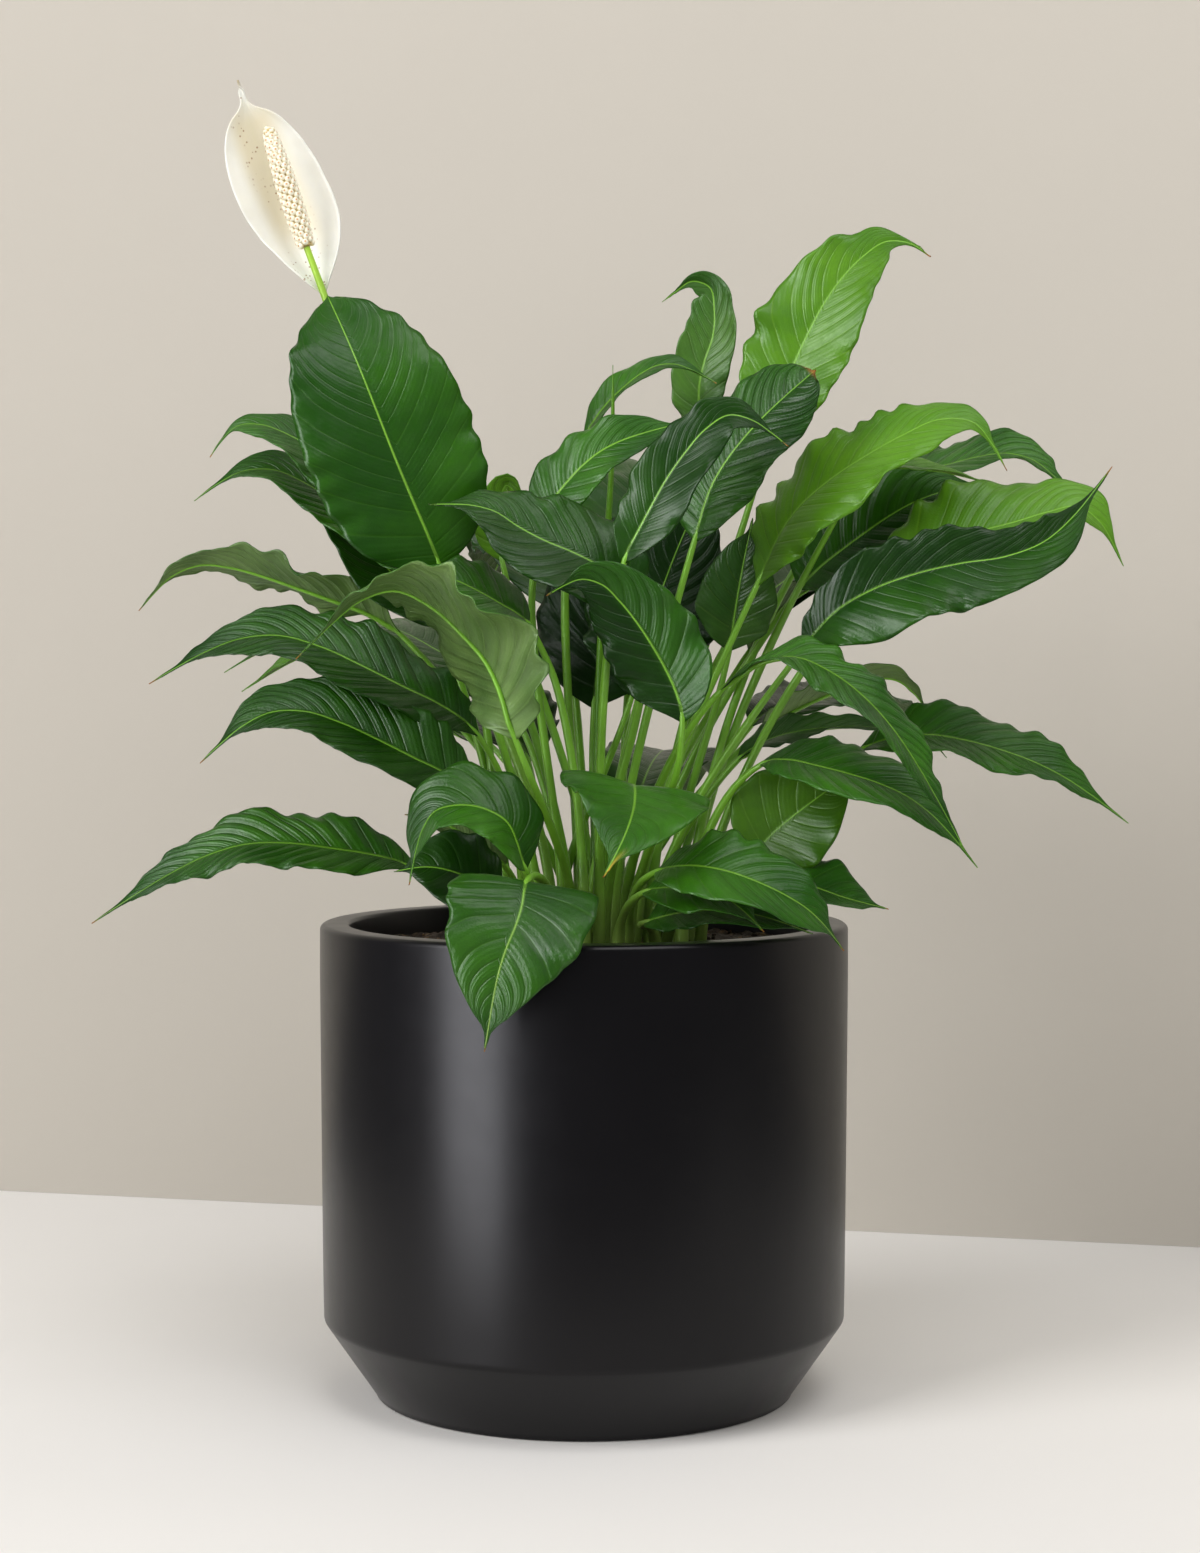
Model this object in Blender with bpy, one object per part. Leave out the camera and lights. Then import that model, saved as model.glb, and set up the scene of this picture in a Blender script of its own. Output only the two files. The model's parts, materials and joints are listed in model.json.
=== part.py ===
"""Potted peace lily: a faceted solid for the planter, the soil, every leaf and the three parts of the flower.

The origin is the middle of the planter's underside, +Z is up and the flower leans towards -X.
Each leaf is one grown piece: a petiole rising from the soil that flattens into its blade.
"""

import math

import bpy
from mathutils import Quaternion, Vector
from mathutils.bvhtree import BVHTree

# Planter
POT_DIAMETER = 0.270
POT_HEIGHT = 0.240
FOOT_DIAMETER = 0.215
FOOT_HEIGHT = 0.039
CREASE_NARROWING = 0.0015
WALL_THICKNESS = 0.015
FLOOR_THICKNESS = 0.016
RIM_ROUNDING = 0.003
CREASE_ROUNDING = 0.004
FOOT_ROUNDING = 0.002
POT_SIDES = 72

# Soil
SOIL_DROP = 0.010
SOIL_FALL_TO_WALL = 0.002
CROWN_RADIUS = 0.066
CROWN_MARGIN = 0.003

# Plant
CENTIMETRE = 0.01
LEAF_LIST_POT_DIAMETER = 0.270
FOLIAGE_SPREAD = 1.0
FOLIAGE_HEIGHT = 1.0
BLADE_WIDTH_FACTOR = 1.0
SHOOT_SPACING = 0.0078
SHOOT_PLACES = 75
SHOOT_DRAW = 0.30
PETIOLE_BASE_RADIUS = 0.0026
PETIOLE_RADIUS = 0.0018
PETIOLE_TOP_RADIUS = 0.0014
MIDRIB_DEPTH = 0.0016
TIP_DEPTH = 0.0008
BLADE_FOLD = 0.22
TIP_HALF_WIDTH = 0.0009

# Flower
STALK_BASE_RADIUS = 0.0030
STALK_RADIUS = 0.0024
STIPE_RADIUS = 0.0017
SPADIX_RADIUS = 0.0050
SPADIX_LENGTH = 0.0660
SPADIX_SIDES = 12
SPATHE_WIDTH = 4.9
SPATHE_CUP = 0.42
SPATHE_DEPTH = 0.0014
SPATHE_SEAT = 0.0002
SPEAR_RADIUS = 0.0022

# Fits
GAP = 0.0003
LEAF_CLEARANCE = 0.0006

POT_RADIUS = POT_DIAMETER / 2
INNER_RADIUS = POT_RADIUS - WALL_THICKNESS
SOIL_TOP = POT_HEIGHT - SOIL_DROP
INNER_BEND = FOOT_HEIGHT + 0.35 * WALL_THICKNESS
FLOOR_RADIUS = FOOT_DIAMETER / 2 - 0.55 * WALL_THICKNESS
RIM_REACH = POT_DIAMETER / LEAF_LIST_POT_DIAMETER

# Outlines: (share of the blade's length, share of its half width)
OUTLINES = {
    "lance": (
        (0.06, 0.42),
        (0.14, 0.76),
        (0.25, 0.96),
        (0.37, 1.00),
        (0.50, 0.93),
        (0.62, 0.77),
        (0.73, 0.55),
        (0.83, 0.31),
        (0.92, 0.11),
    ),
    "round": (
        (0.05, 0.42),
        (0.12, 0.72),
        (0.24, 0.93),
        (0.38, 1.00),
        (0.52, 0.99),
        (0.66, 0.90),
        (0.79, 0.70),
        (0.89, 0.45),
        (0.96, 0.19),
    ),
    "heart": (
        (0.04, 0.72),
        (0.10, 0.96),
        (0.20, 1.00),
        (0.32, 0.95),
        (0.45, 0.84),
        (0.58, 0.66),
        (0.70, 0.45),
        (0.81, 0.24),
        (0.91, 0.10),
    ),
    "blunt": (
        (0.06, 0.40),
        (0.15, 0.70),
        (0.27, 0.92),
        (0.40, 1.00),
        (0.54, 0.99),
        (0.68, 0.93),
        (0.81, 0.80),
        (0.91, 0.58),
        (0.97, 0.32),
    ),
    "spathe": (
        (0.05, 0.34),
        (0.10, 0.58),
        (0.18, 0.80),
        (0.28, 0.93),
        (0.40, 1.00),
        (0.52, 0.99),
        (0.64, 0.90),
        (0.75, 0.69),
        (0.85, 0.38),
        (0.93, 0.13),
    ),
}

# Colours of a leaf's upper side
TONES = {
    "deep": (0.012, 0.060, 0.014, 1.0),
    "mid": (0.022, 0.110, 0.018, 1.0),
    "bright": (0.075, 0.230, 0.022, 1.0),
    "pale": (0.090, 0.190, 0.070, 1.0),
}

# name, outline, tone, full width in centimetres, direction that the upper side faces half way
# along, twist from petiole to tip in degrees, and points down the blade from its petiole to its
# tip: (right, back, height over the soil) in centimetres
LEAVES = (
    ("leaf_left_broad", "round", "deep", 8.2, (0.15, -1, 0.1), 0,
     ((-7.1, -5, 18.9), (-9.1, -6, 23.8), (-11.2, -6, 29.1), (-12.9, -3.8, 32.8))),
    ("leaf_front_hanging", "heart", "mid", 7.0, (0, -0.9, 0.45), 0,
     ((-2.7, -13, 4.0), (-3.0, -14.6, 2.5), (-3.9, -15.6, 0.1), (-4.6, -15.3, -3.7))),
    ("leaf_right_big", "lance", "deep", 5.6, (-0.2, -0.75, 0.6), 0,
     ((10.9, -5, 15), (13.1, -6, 17.3), (17.1, -6, 18.9), (22.4, -6.5, 20.1), (26.0, -6.5, 24))),
    ("leaf_right_long_bright", "lance", "bright", 5.2, (-0.45, -0.7, 0.55), 0,
     ((8.8, -2, 18.3), (10.7, -3, 22), (14.5, -4, 24.9), (18.8, -4.5, 26.6), (21.1, -5, 23.9))),
    ("leaf_top_bright", "lance", "bright", 5.6, (-0.3, -0.95, 0.1), 0,
     ((9.7, 2, 26), (11, 2, 30), (13.2, 2, 34.1), (15.9, 2, 36.4), (18.1, 2, 35.6))),
    ("leaf_left_arched", "lance", "pale", 5.6, (-0.5, 0.15, 0.85), -70,
     ((-3.3, -10, 10.6), (-4.9, -10, 14.6), (-9.3, -10, 17.8), (-13.9, -10, 14.5))),
    ("leaf_front_yellowed", "heart", "mid", 7.3, (0.25, -0.55, 0.8), 0,
     ((2.4, -7, 8.2), (2.4, -10, 7.4), (1.9, -13, 6.1), (0.9, -14.5, 4.3))),
    ("leaf_front_glossy", "lance", "deep", 6.0, (-0.4, -0.75, 0.5), 0,
     ((4.8, -9, 11.4), (4.1, -9, 13.7), (2.2, -9.5, 16.7), (0.3, -10, 18.3), (-1.8, -10, 17.5))),
    ("leaf_front_dark", "lance", "deep", 5.6, (-0.3, -0.75, 0.6), 0,
     ((2.7, -7, 16.9), (0.8, -7.5, 19), (-2.6, -7.5, 20.6), (-4.8, -7.5, 21.9), (-7.6, -7.5, 22.1))),
    ("leaf_top_dark", "lance", "deep", 5.4, (-0.3, -0.9, 0.3), 0,
     ((1.9, -7, 19.1), (2.7, -7, 20.8), (4.7, -7, 24.2), (7.1, -7, 26.3), (9.9, -7, 24.8))),
    ("leaf_top_browned", "blunt", "deep", 4.4, (-0.4, -0.8, 0.45), 0,
     ((5.5, -5, 20.4), (6.5, -5, 23.4), (8.5, -5, 26.1), (11.5, -5, 28.9))),
    ("leaf_top_glossy", "lance", "mid", 3.6, (-0.3, -0.8, 0.5), 0,
     ((-2.2, -4, 21.2), (-1.0, -4, 23.2), (1.3, -4, 25.2), (5.4, -4, 26.5))),
    ("leaf_left_long_low", "lance", "mid", 4.6, (-0.1, -0.55, 0.85), 0,
     ((-8.5, -3, 3.9), (-11.2, -3, 4.7), (-17.8, -3, 5.0), (-24.9, -3, 1.2))),
    ("leaf_left_low", "lance", "deep", 4.4, (-0.1, -0.6, 0.8), 0,
     ((-5.2, -6, 7.6), (-8.1, -7, 9.5), (-14.5, -7, 12.0), (-18.9, -7, 9.4))),
    ("leaf_left_middle", "lance", "deep", 4.8, (-0.25, -0.55, 0.8), 0,
     ((-5.3, -4, 10.7), (-9.2, -5, 13.2), (-15.7, -5, 15.7), (-21.7, -5, 13.3))),
    ("leaf_left_pale", "lance", "pale", 4.4, (-0.1, 0.3, 0.95), 0,
     ((-9.6, 2, 15.9), (-13.9, 2, 17.9), (-20.0, 2, 19.5), (-23.3, 2, 17.1))),
    ("leaf_left_upper", "lance", "mid", 4.6, (-0.2, -0.45, 0.9), 0,
     ((-5.8, -3, 17.5), (-10.1, -2.5, 20.7), (-16.2, -2, 24.4), (-20.3, -2, 22.8))),
    ("leaf_left_highest", "lance", "mid", 4.2, (-0.3, -0.4, 0.85), 0,
     ((-9.5, 0, 20.7), (-13.5, 1, 25.0), (-17.3, 1.5, 26.7), (-19.4, 2, 25.0))),
    ("leaf_left_behind", "lance", "deep", 4.4, (-0.2, -0.6, 0.75), 0,
     ((-6.5, -1, 16.0), (-9.5, 0, 18.5), (-12.5, 0.5, 21.8), (-15.5, 0.5, 24.0))),
    ("leaf_left_narrow_a", "lance", "mid", 3.2, (-0.2, -0.3, 0.9), 0,
     ((-7.0, 3, 12.5), (-10.5, 4, 14.8), (-15.7, 5, 15.4), (-19.2, 5, 13.9))),
    ("leaf_left_narrow_b", "lance", "bright", 3.2, (-0.2, -0.3, 0.9), 0,
     ((-7.6, 0, 12.4), (-10.2, 0, 14.4), (-13.7, 0.5, 15.0), (-17.8, 1, 12.9))),
    ("leaf_left_curled", "lance", "mid", 4.5, (-0.3, -0.6, 0.75), 0,
     ((-2.8, -11, 4.4), (-4.0, -11.5, 7.0), (-7.1, -11.5, 7.2), (-8.4, -11, 3.7))),
    ("leaf_left_underside", "lance", "pale", 3.0, (0.1, 0.5, 0.85), 0,
     ((-3.9, -7, 4.4), (-5.6, -7, 5.7), (-7.1, -7, 6.6), (-8.8, -7, 6.9))),
    ("leaf_left_lowest", "lance", "deep", 4.5, (-0.1, -0.8, 0.6), 0,
     ((-4.1, -7, 3.1), (-5.6, -7.5, 3.9), (-7.4, -7.5, 4.4), (-9.2, -7.5, 4.2))),
    ("leaf_left_wavy", "lance", "mid", 4.2, (-0.1, -0.6, 0.8), 0,
     ((-2.7, -6, 16.2), (-4.1, -6.5, 17.2), (-6.4, -7, 18.4), (-8.7, -7, 19.1))),
    ("leaf_left_back", "lance", "mid", 3.0, (0, -0.3, 0.9), 0,
     ((-5.0, 6, 10.0), (-6.6, 6, 10.5), (-8.3, 6, 11.3), (-9.8, 6, 10.3))),
    ("leaf_young_curled", "lance", "bright", 2.6, (0.3, -0.9, 0.3), 0,
     ((-4.3, 2, 19.7), (-4.5, 2, 21.8), (-4.1, 2, 23.6), (-3.1, 2, 22.5))),
    ("leaf_front_over_rim", "lance", "mid", 5.0, (0.1, -0.55, 0.8), 0,
     ((3.5, -9, 4.2), (6.5, -11, 4.4), (10.3, -11.5, 2.8), (12.5, -10.5, 0.5))),
    ("leaf_front_short", "lance", "mid", 4.0, (0, -0.5, 0.85), 0,
     ((3.0, -8.5, 3.2), (4.6, -9.5, 3.4), (6.8, -10.5, 3.0), (8.6, -11, 1.5))),
    ("leaf_front_on_rim", "lance", "deep", 3.6, (0, -0.6, 0.8), 0,
     ((3.0, -7.5, 1.6), (5.2, -8.5, 2.2), (8.0, -9.5, 2.2), (11.0, -10, 1.3))),
    ("leaf_front_right_tip", "lance", "mid", 4.2, (0.1, -0.5, 0.85), 0,
     ((9.2, -6, 3.6), (10.9, -7, 3.4), (12.8, -7.5, 2.8), (14.9, -7.5, 2.3))),
    ("leaf_right_olive", "lance", "bright", 5.5, (-0.2, -0.9, 0.4), 0,
     ((8.2, -5, 4.1), (9.5, -5, 5.5), (11.5, -5, 7.1), (13.8, -5, 8.7))),
    ("leaf_right_farthest", "lance", "mid", 4.4, (0, -0.55, 0.8), 0,
     ((14.4, 2, 9.8), (18.0, 1, 10.6), (23.5, 0, 9.1), (28.1, 0, 6.1))),
    ("leaf_right_low", "lance", "mid", 4.5, (0, -0.5, 0.85), 0,
     ((8.7, -6, 9.3), (12.0, -8, 9.1), (16.0, -9, 7.6), (19.1, -9, 4.4))),
    ("leaf_right_draped", "lance", "mid", 3.6, (0.45, -0.5, 0.75), 0,
     ((6.8, -6, 13), (10.1, -8, 14.6), (14.3, -10, 11.8), (18.4, -10.5, 5.1))),
    ("leaf_right_grey", "lance", "pale", 3.2, (0, 0.25, 0.95), 0,
     ((9.1, 3, 10.6), (12.1, 3, 12.4), (16.1, 3, 13.6), (18.5, 3, 11.3))),
    ("leaf_right_middle", "lance", "deep", 3.6, (0, -0.2, 0.95), 0,
     ((7.9, -1, 9.4), (10.0, -1, 10.6), (13.6, -1, 11.1), (16.4, -1, 10.8))),
    ("leaf_right_pleated", "lance", "mid", 4.3, (0, -0.4, 0.9), 0,
     ((14.6, 4, 23.5), (18.3, 4, 24.6), (22.9, 3, 25.3), (25.9, 2, 22.6))),
    ("leaf_right_strip", "lance", "bright", 2.6, (-0.1, -0.3, 0.95), 0,
     ((12.9, -0.5, 21.7), (14.8, -0.5, 24.2), (17.8, -0.5, 24.3), (20.9, -0.5, 23.6))),
    ("leaf_right_veined", "lance", "deep", 5.8, (-0.3, -0.85, 0.45), 0,
     ((11.2, 1, 18.2), (13.8, 1, 20.5), (17.4, 1, 22.8), (21.2, 1, 23.7))),
    ("leaf_right_outer", "lance", "bright", 4.8, (-0.1, -0.7, 0.7), 0,
     ((15, -2, 18.8), (18.3, -2, 20.4), (22.1, -2, 21.5), (25.2, -2, 22.1), (27.2, -2, 19.2))),
    ("leaf_right_shaded", "lance", "pale", 4.0, (0, 0.3, 0.9), 0,
     ((8.8, 3, 15), (10.3, 3, 17.1), (12.1, 3, 18.4), (14.5, 3, 19.8))),
    ("leaf_top_pale", "lance", "pale", 3.1, (-0.3, -0.9, 0.2), 0,
     ((6.2, 6, 26.3), (6.2, 6, 29.5), (7.0, 6, 32.5), (6.4, 6, 34.9), (4.2, 6, 33.7))),
    ("leaf_top_narrow", "lance", "mid", 2.2, (-0.2, -0.5, 0.8), 0,
     ((0.1, 3, 26.3), (1.9, 3, 28.7), (4.3, 3, 30.1), (7.0, 3, 29.1))),
    ("leaf_inner_a", "lance", "deep", 6.0, (0, -0.95, 0.2), 0,
     ((0.5, 3, 12), (1.0, 4, 15.5), (2.5, 4.5, 20), (4.5, 5, 24))),
    ("leaf_inner_b", "lance", "deep", 5.5, (-0.1, -0.95, 0.2), 0,
     ((2.5, 1, 13), (3.2, 1.5, 16), (5, 2, 21), (7, 2, 25))),
    ("leaf_inner_c", "lance", "pale", 3.4, (0, -0.9, 0.2), 0,
     ((7.5, 1, 15), (7.8, 1, 17.1), (8.2, 1, 19.4), (8.7, 1, 21.8))),
    ("leaf_back_a", "lance", "mid", 6.0, (0.1, -0.3, 0.95), 0,
     ((-4, 7, 12), (-8, 10, 15), (-12, 14, 16.5), (-15, 17, 14))),
    ("leaf_back_b", "lance", "mid", 6.5, (0, -0.3, 0.95), 0,
     ((-1, 8, 17), (-2, 12, 20.5), (-4, 16, 21.5), (-6, 20, 18))),
    ("leaf_back_c", "lance", "mid", 6.5, (0, -0.3, 0.95), 0,
     ((3, 9, 19), (4, 12, 23.5), (5, 16, 25.5), (6, 20, 22.5))),
    ("leaf_back_d", "lance", "deep", 6.0, (0, -0.3, 0.95), 0,
     ((8, 7, 16), (12, 11, 19.5), (15, 15, 20.5), (18, 19, 17))),
    ("leaf_back_e", "lance", "deep", 5.2, (0, -0.3, 0.95), 0,
     ((-3, 9, 9), (-5, 13, 11.5), (-7, 18, 12), (-8.5, 22, 9))),
    ("leaf_back_f", "lance", "mid", 5.5, (0, -0.3, 0.95), 0,
     ((3, 10, 7), (4, 14, 9), (5, 19, 9), (6, 23, 5))),
    ("leaf_back_g", "lance", "mid", 4.4, (0, -0.3, 0.95), 0,
     ((9, 7, 11), (13, 11, 12.5), (17, 15, 12.5), (21, 18, 9))),
)

# Leaves that rest over the rim move out and in with it
RIM_LEAVES = {
    "leaf_front_hanging",
    "leaf_front_over_rim",
    "leaf_front_short",
    "leaf_front_on_rim",
    "leaf_front_right_tip",
    "leaf_left_curled",
    "leaf_left_long_low",
}

STALK_POINTS = ((-7.0, -1.5, 18), (-11.2, -1.2, 27.5), (-13.1, -0.9, 32.6), (-14.2, -1.0, 35.6))
SPADIX_DIRECTION = (-0.31, 0.02, 0.95)
SPATHE_POINTS = ((-13.5, -0.2, 33.0), (-15.1, 1.0, 37.1), (-16.85, 0.8, 41.0), (-17.8, -0.3, 44.3))
SPATHE_FACING = (0.15, -1, 0.2)
SPEAR_POINTS = ((0.9, 1.0, 16), (1.4, 1.2, 24), (1.5, 1.2, 29.8))


def clear_scene():
    for old in list(bpy.data.objects):
        bpy.data.objects.remove(old, do_unlink=True)


def material(name, colour, roughness):
    finish = bpy.data.materials.new(name)
    finish.use_nodes = True
    shader = finish.node_tree.nodes["Principled BSDF"]
    shader.inputs["Base Color"].default_value = colour
    shader.inputs["Roughness"].default_value = roughness
    shader.inputs["Metallic"].default_value = 0.0
    finish.diffuse_color = colour
    return finish


def add_object(name, corners, faces, finish, smooth):
    mesh = bpy.data.meshes.new(name)
    mesh.from_pydata([tuple(corner) for corner in corners], [], faces)
    mesh.materials.append(finish)
    mesh.polygons.foreach_set("use_smooth", [smooth] * len(mesh.polygons))
    mesh.update()
    piece = bpy.data.objects.new(name, mesh)
    bpy.context.scene.collection.objects.link(piece)
    return piece


def turned(profile, sides):
    """A closed solid of revolution from (radius, height) pairs, in order from axis to axis."""
    corners = [Vector((0, 0, profile[0][1]))]
    for radius, height in profile[1:-1]:
        for side in range(sides):
            angle = 2 * math.pi * side / sides
            corners.append(Vector((radius * math.cos(angle), radius * math.sin(angle), height)))
    corners.append(Vector((0, 0, profile[-1][1])))
    last = len(corners) - 1
    faces = []
    for side in range(sides):
        after = (side + 1) % sides
        faces.append((0, 1 + after, 1 + side))
        for ring in range(len(profile) - 3):
            low = 1 + ring * sides
            high = low + sides
            faces.append((low + side, low + after, high + after, high + side))
        faces.append((last, last - sides + side, last - sides + after))
    return corners, faces


def arc(centre, radius, start, end, steps):
    """(radius, height) pairs on a circular arc between two angles in degrees."""
    pairs = []
    for step in range(steps + 1):
        angle = math.radians(start + (end - start) * step / steps)
        pairs.append((centre[0] + radius * math.cos(angle), centre[1] + radius * math.sin(angle)))
    return pairs


def planter_profile():
    foot = FOOT_DIAMETER / 2
    crease = POT_RADIUS - CREASE_NARROWING
    slope = math.degrees(math.atan2(crease - foot, FOOT_HEIGHT))
    outline = [(0, 0), (foot - FOOT_ROUNDING, 0)]
    outline += [(foot + FOOT_ROUNDING * 0.2, FOOT_ROUNDING * 0.6)]
    lean = math.radians(slope)
    reach = CREASE_ROUNDING
    outline += [(crease - reach * math.sin(lean), FOOT_HEIGHT - reach * math.cos(lean))]
    outline += [(crease - reach * 0.12, FOOT_HEIGHT), (crease, FOOT_HEIGHT + reach)]
    middle = FOOT_HEIGHT + (POT_HEIGHT - FOOT_HEIGHT) * 0.55
    outline += [(POT_RADIUS + CREASE_NARROWING / 3, middle)]
    outline += arc((POT_RADIUS - RIM_ROUNDING, POT_HEIGHT - RIM_ROUNDING), RIM_ROUNDING, 0, 90, 4)
    outline += arc((INNER_RADIUS + RIM_ROUNDING, POT_HEIGHT - RIM_ROUNDING), RIM_ROUNDING, 90, 180, 3)
    outline += [(INNER_RADIUS, INNER_BEND), (FLOOR_RADIUS, FLOOR_THICKNESS), (0, FLOOR_THICKNESS)]
    return outline


def soil_profile():
    edge = INNER_RADIUS - GAP
    bottom = FLOOR_THICKNESS + GAP
    return [
        (0, bottom),
        (FLOOR_RADIUS - 2 * GAP, bottom),
        (edge, INNER_BEND + GAP),
        (edge, SOIL_TOP - SOIL_FALL_TO_WALL),
        ((edge + CROWN_RADIUS) / 2, SOIL_TOP - SOIL_FALL_TO_WALL * 0.35),
        (CROWN_RADIUS, SOIL_TOP),
        (0, SOIL_TOP),
    ]


def shoot_places():
    """Places for shoots on the soil, spread evenly on a sunflower spiral."""
    turn = math.pi * (3 - math.sqrt(5))
    spacing = min(SHOOT_SPACING, (CROWN_RADIUS - CROWN_MARGIN) / math.sqrt(SHOOT_PLACES))
    places = []
    for index in range(SHOOT_PLACES):
        radius = spacing * math.sqrt(index + 0.5)
        places.append(Vector((radius * math.cos(index * turn), radius * math.sin(index * turn), 0)))
    return places


def hermite(start, end, leave, arrive, share):
    square = share * share
    cube = square * share
    return (
        start * (2 * cube - 3 * square + 1)
        + leave * (cube - 2 * square + share)
        + end * (3 * square - 2 * cube)
        + arrive * (cube - square)
    )


def path_through(points, leave, steps):
    """A smooth path through the points that starts in the given direction."""
    tangents = [leave]
    for index in range(1, len(points) - 1):
        tangents.append((points[index + 1] - points[index - 1]) / 2)
    tangents.append((points[-1] - points[-2]) * 1.4 - tangents[-1] * 0.4)
    path = []
    for index in range(len(points) - 1):
        for step in range(steps):
            path.append(
                hermite(points[index], points[index + 1], tangents[index], tangents[index + 1], step / steps)
            )
    path.append(points[-1])
    return path


def along(path, shares):
    """Points of the path at the given shares of its length."""
    lengths = [0.0]
    for index in range(1, len(path)):
        lengths.append(lengths[-1] + (path[index] - path[index - 1]).length)
    found = []
    for share in shares:
        wanted = share * lengths[-1]
        index = 1
        while index < len(lengths) - 1 and lengths[index] < wanted:
            index += 1
        span = lengths[index] - lengths[index - 1]
        part = (wanted - lengths[index - 1]) / span
        found.append(path[index - 1].lerp(path[index], min(max(part, 0), 1)))
    return found


def directions_of(centres, first):
    """The path's direction at each point. The first one is given."""
    found = [first.normalized()]
    for index in range(1, len(centres) - 1):
        found.append((centres[index + 1] - centres[index - 1]).normalized())
    found.append((centres[-1] - centres[-2]).normalized())
    return found


def carried(facing, directions, at):
    """The facing direction at each point, carried along the path without twisting from one point."""
    start = facing - directions[at] * facing.dot(directions[at])
    normals = [None] * len(directions)
    normals[at] = start.normalized()
    for index in range(at + 1, len(directions)):
        turn = directions[index - 1].rotation_difference(directions[index])
        normals[index] = (turn @ normals[index - 1]).normalized()
    for index in range(at - 1, -1, -1):
        turn = directions[index + 1].rotation_difference(directions[index])
        normals[index] = (turn @ normals[index + 1]).normalized()
    return normals


def stem_ring(centre, side, normal, radius):
    ring = []
    for degrees in (180, 120, 60, 0, -60, -120):
        angle = math.radians(degrees)
        ring.append(centre + side * (radius * math.cos(angle)) + normal * (radius * math.sin(angle)))
    return ring


def blade_ring(centre, side, normal, half, depth, fold):
    """Left margin, two points beside the midrib above, right margin, two points of the keel below."""
    above = 0.12 * half
    below = 0.05 * half
    return [
        centre - side * half + normal * (fold * half),
        centre - side * above + normal * (fold * above),
        centre + side * above + normal * (fold * above),
        centre + side * half + normal * (fold * half),
        centre + side * below - normal * (depth - fold * below),
        centre - side * below - normal * (depth - fold * below),
    ]


def skin(rings):
    """A closed six-sided tube over the rings."""
    corners = [corner for ring in rings for corner in ring]
    faces = []
    count = len(rings[0])
    for ring in range(len(rings) - 1):
        low = ring * count
        for side in range(count):
            after = (side + 1) % count
            faces.append((low + side, low + after, low + after + count))
            faces.append((low + side, low + after + count, low + side + count))
    faces.append(tuple(reversed(range(count))))
    last = (len(rings) - 1) * count
    faces.append(tuple(range(last, last + count)))
    return corners, faces


def faces_outwards(corners, faces):
    """The faces turned so that the solid they close has a positive volume."""
    total = 0.0
    for face in faces:
        for index in range(1, len(face) - 1):
            total += corners[face[0]].dot(corners[face[index]].cross(corners[face[index + 1]]))
    if total < 0:
        return [tuple(reversed(face)) for face in faces]
    return faces


def leaf_rings(base, points, outline, width, facing, twist, extra, bow):
    """The rings of one leaf: its petiole from the soil, then its blade to the tip."""
    start = points[0]
    reach = (start - base).length
    heading = ((points[1] - start).normalized() + (start - base).normalized() * 0.8).normalized()
    across = heading.cross(Vector((0, 0, 1)))
    leave = Vector((0, 0, reach * 0.9)) + across * (bow * reach)
    arrive = heading * (reach * 0.75)
    stem = [hermite(base, start, leave, arrive, step / 24) for step in range(25)]
    blade = path_through(points, heading * (points[1] - start).length, 10)
    stations = OUTLINES[outline]
    stem_count = 6 if reach > 0.09 else 5
    stem_centres = along(stem, [i / stem_count for i in range(stem_count)])
    blade_centres = along(blade, [0.0] + [station[0] for station in stations] + [1.0])
    centres = stem_centres + blade_centres
    directions = directions_of(centres, Vector((0, 0, 1)))
    middle = stem_count + 5
    normals = carried(facing, directions, middle)
    rings = []
    for index, centre in enumerate(centres):
        share = min(max((index - stem_count) / (len(centres) - 1 - stem_count), 0), 1)
        turn = Quaternion(directions[index], math.radians(twist * (share - 0.5)))
        normal = (turn @ normals[index]).normalized()
        side = directions[index].cross(normal).normalized()
        if index < stem_count:
            swell = max(0, 1 - index / stem_count * 2.2) ** 2
            radius = PETIOLE_RADIUS + (PETIOLE_BASE_RADIUS - PETIOLE_RADIUS) * swell
            rings.append(stem_ring(centre, side, normal, radius + extra))
        elif index == stem_count:
            rings.append(stem_ring(centre, side, normal, PETIOLE_TOP_RADIUS + extra))
        else:
            depth = MIDRIB_DEPTH + (TIP_DEPTH - MIDRIB_DEPTH) * share
            if index == len(centres) - 1:
                half = TIP_HALF_WIDTH
            else:
                half = max(width / 2 * stations[index - stem_count - 1][1], 2 * TIP_HALF_WIDTH)
            ring = blade_ring(centre, side, normal, half, depth, BLADE_FOLD)
            swell = (-side * 2, normal, normal, side * 2, -normal, -normal)
            rings.append([corner + out * extra for corner, out in zip(ring, swell)])
    return rings


def tree_of(corners, faces):
    return BVHTree.FromPolygons([tuple(corner) for corner in corners], faces)


def box_of(corners):
    low = Vector([min(corner[axis] for corner in corners) for axis in range(3)])
    high = Vector([max(corner[axis] for corner in corners) for axis in range(3)])
    return low, high


def meets(corners, faces, settled):
    """Whether the surface crosses one that is already in place."""
    low, high = box_of(corners)
    tree = None
    for other, other_low, other_high in settled:
        if any(low[axis] > other_high[axis] or high[axis] < other_low[axis] for axis in range(3)):
            continue
        if tree is None:
            tree = tree_of(corners, faces)
        if tree.overlap(other):
            return True
    return False


def settle(settled, corners, faces):
    settled.append((tree_of(corners, faces), *box_of(corners)))


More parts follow.
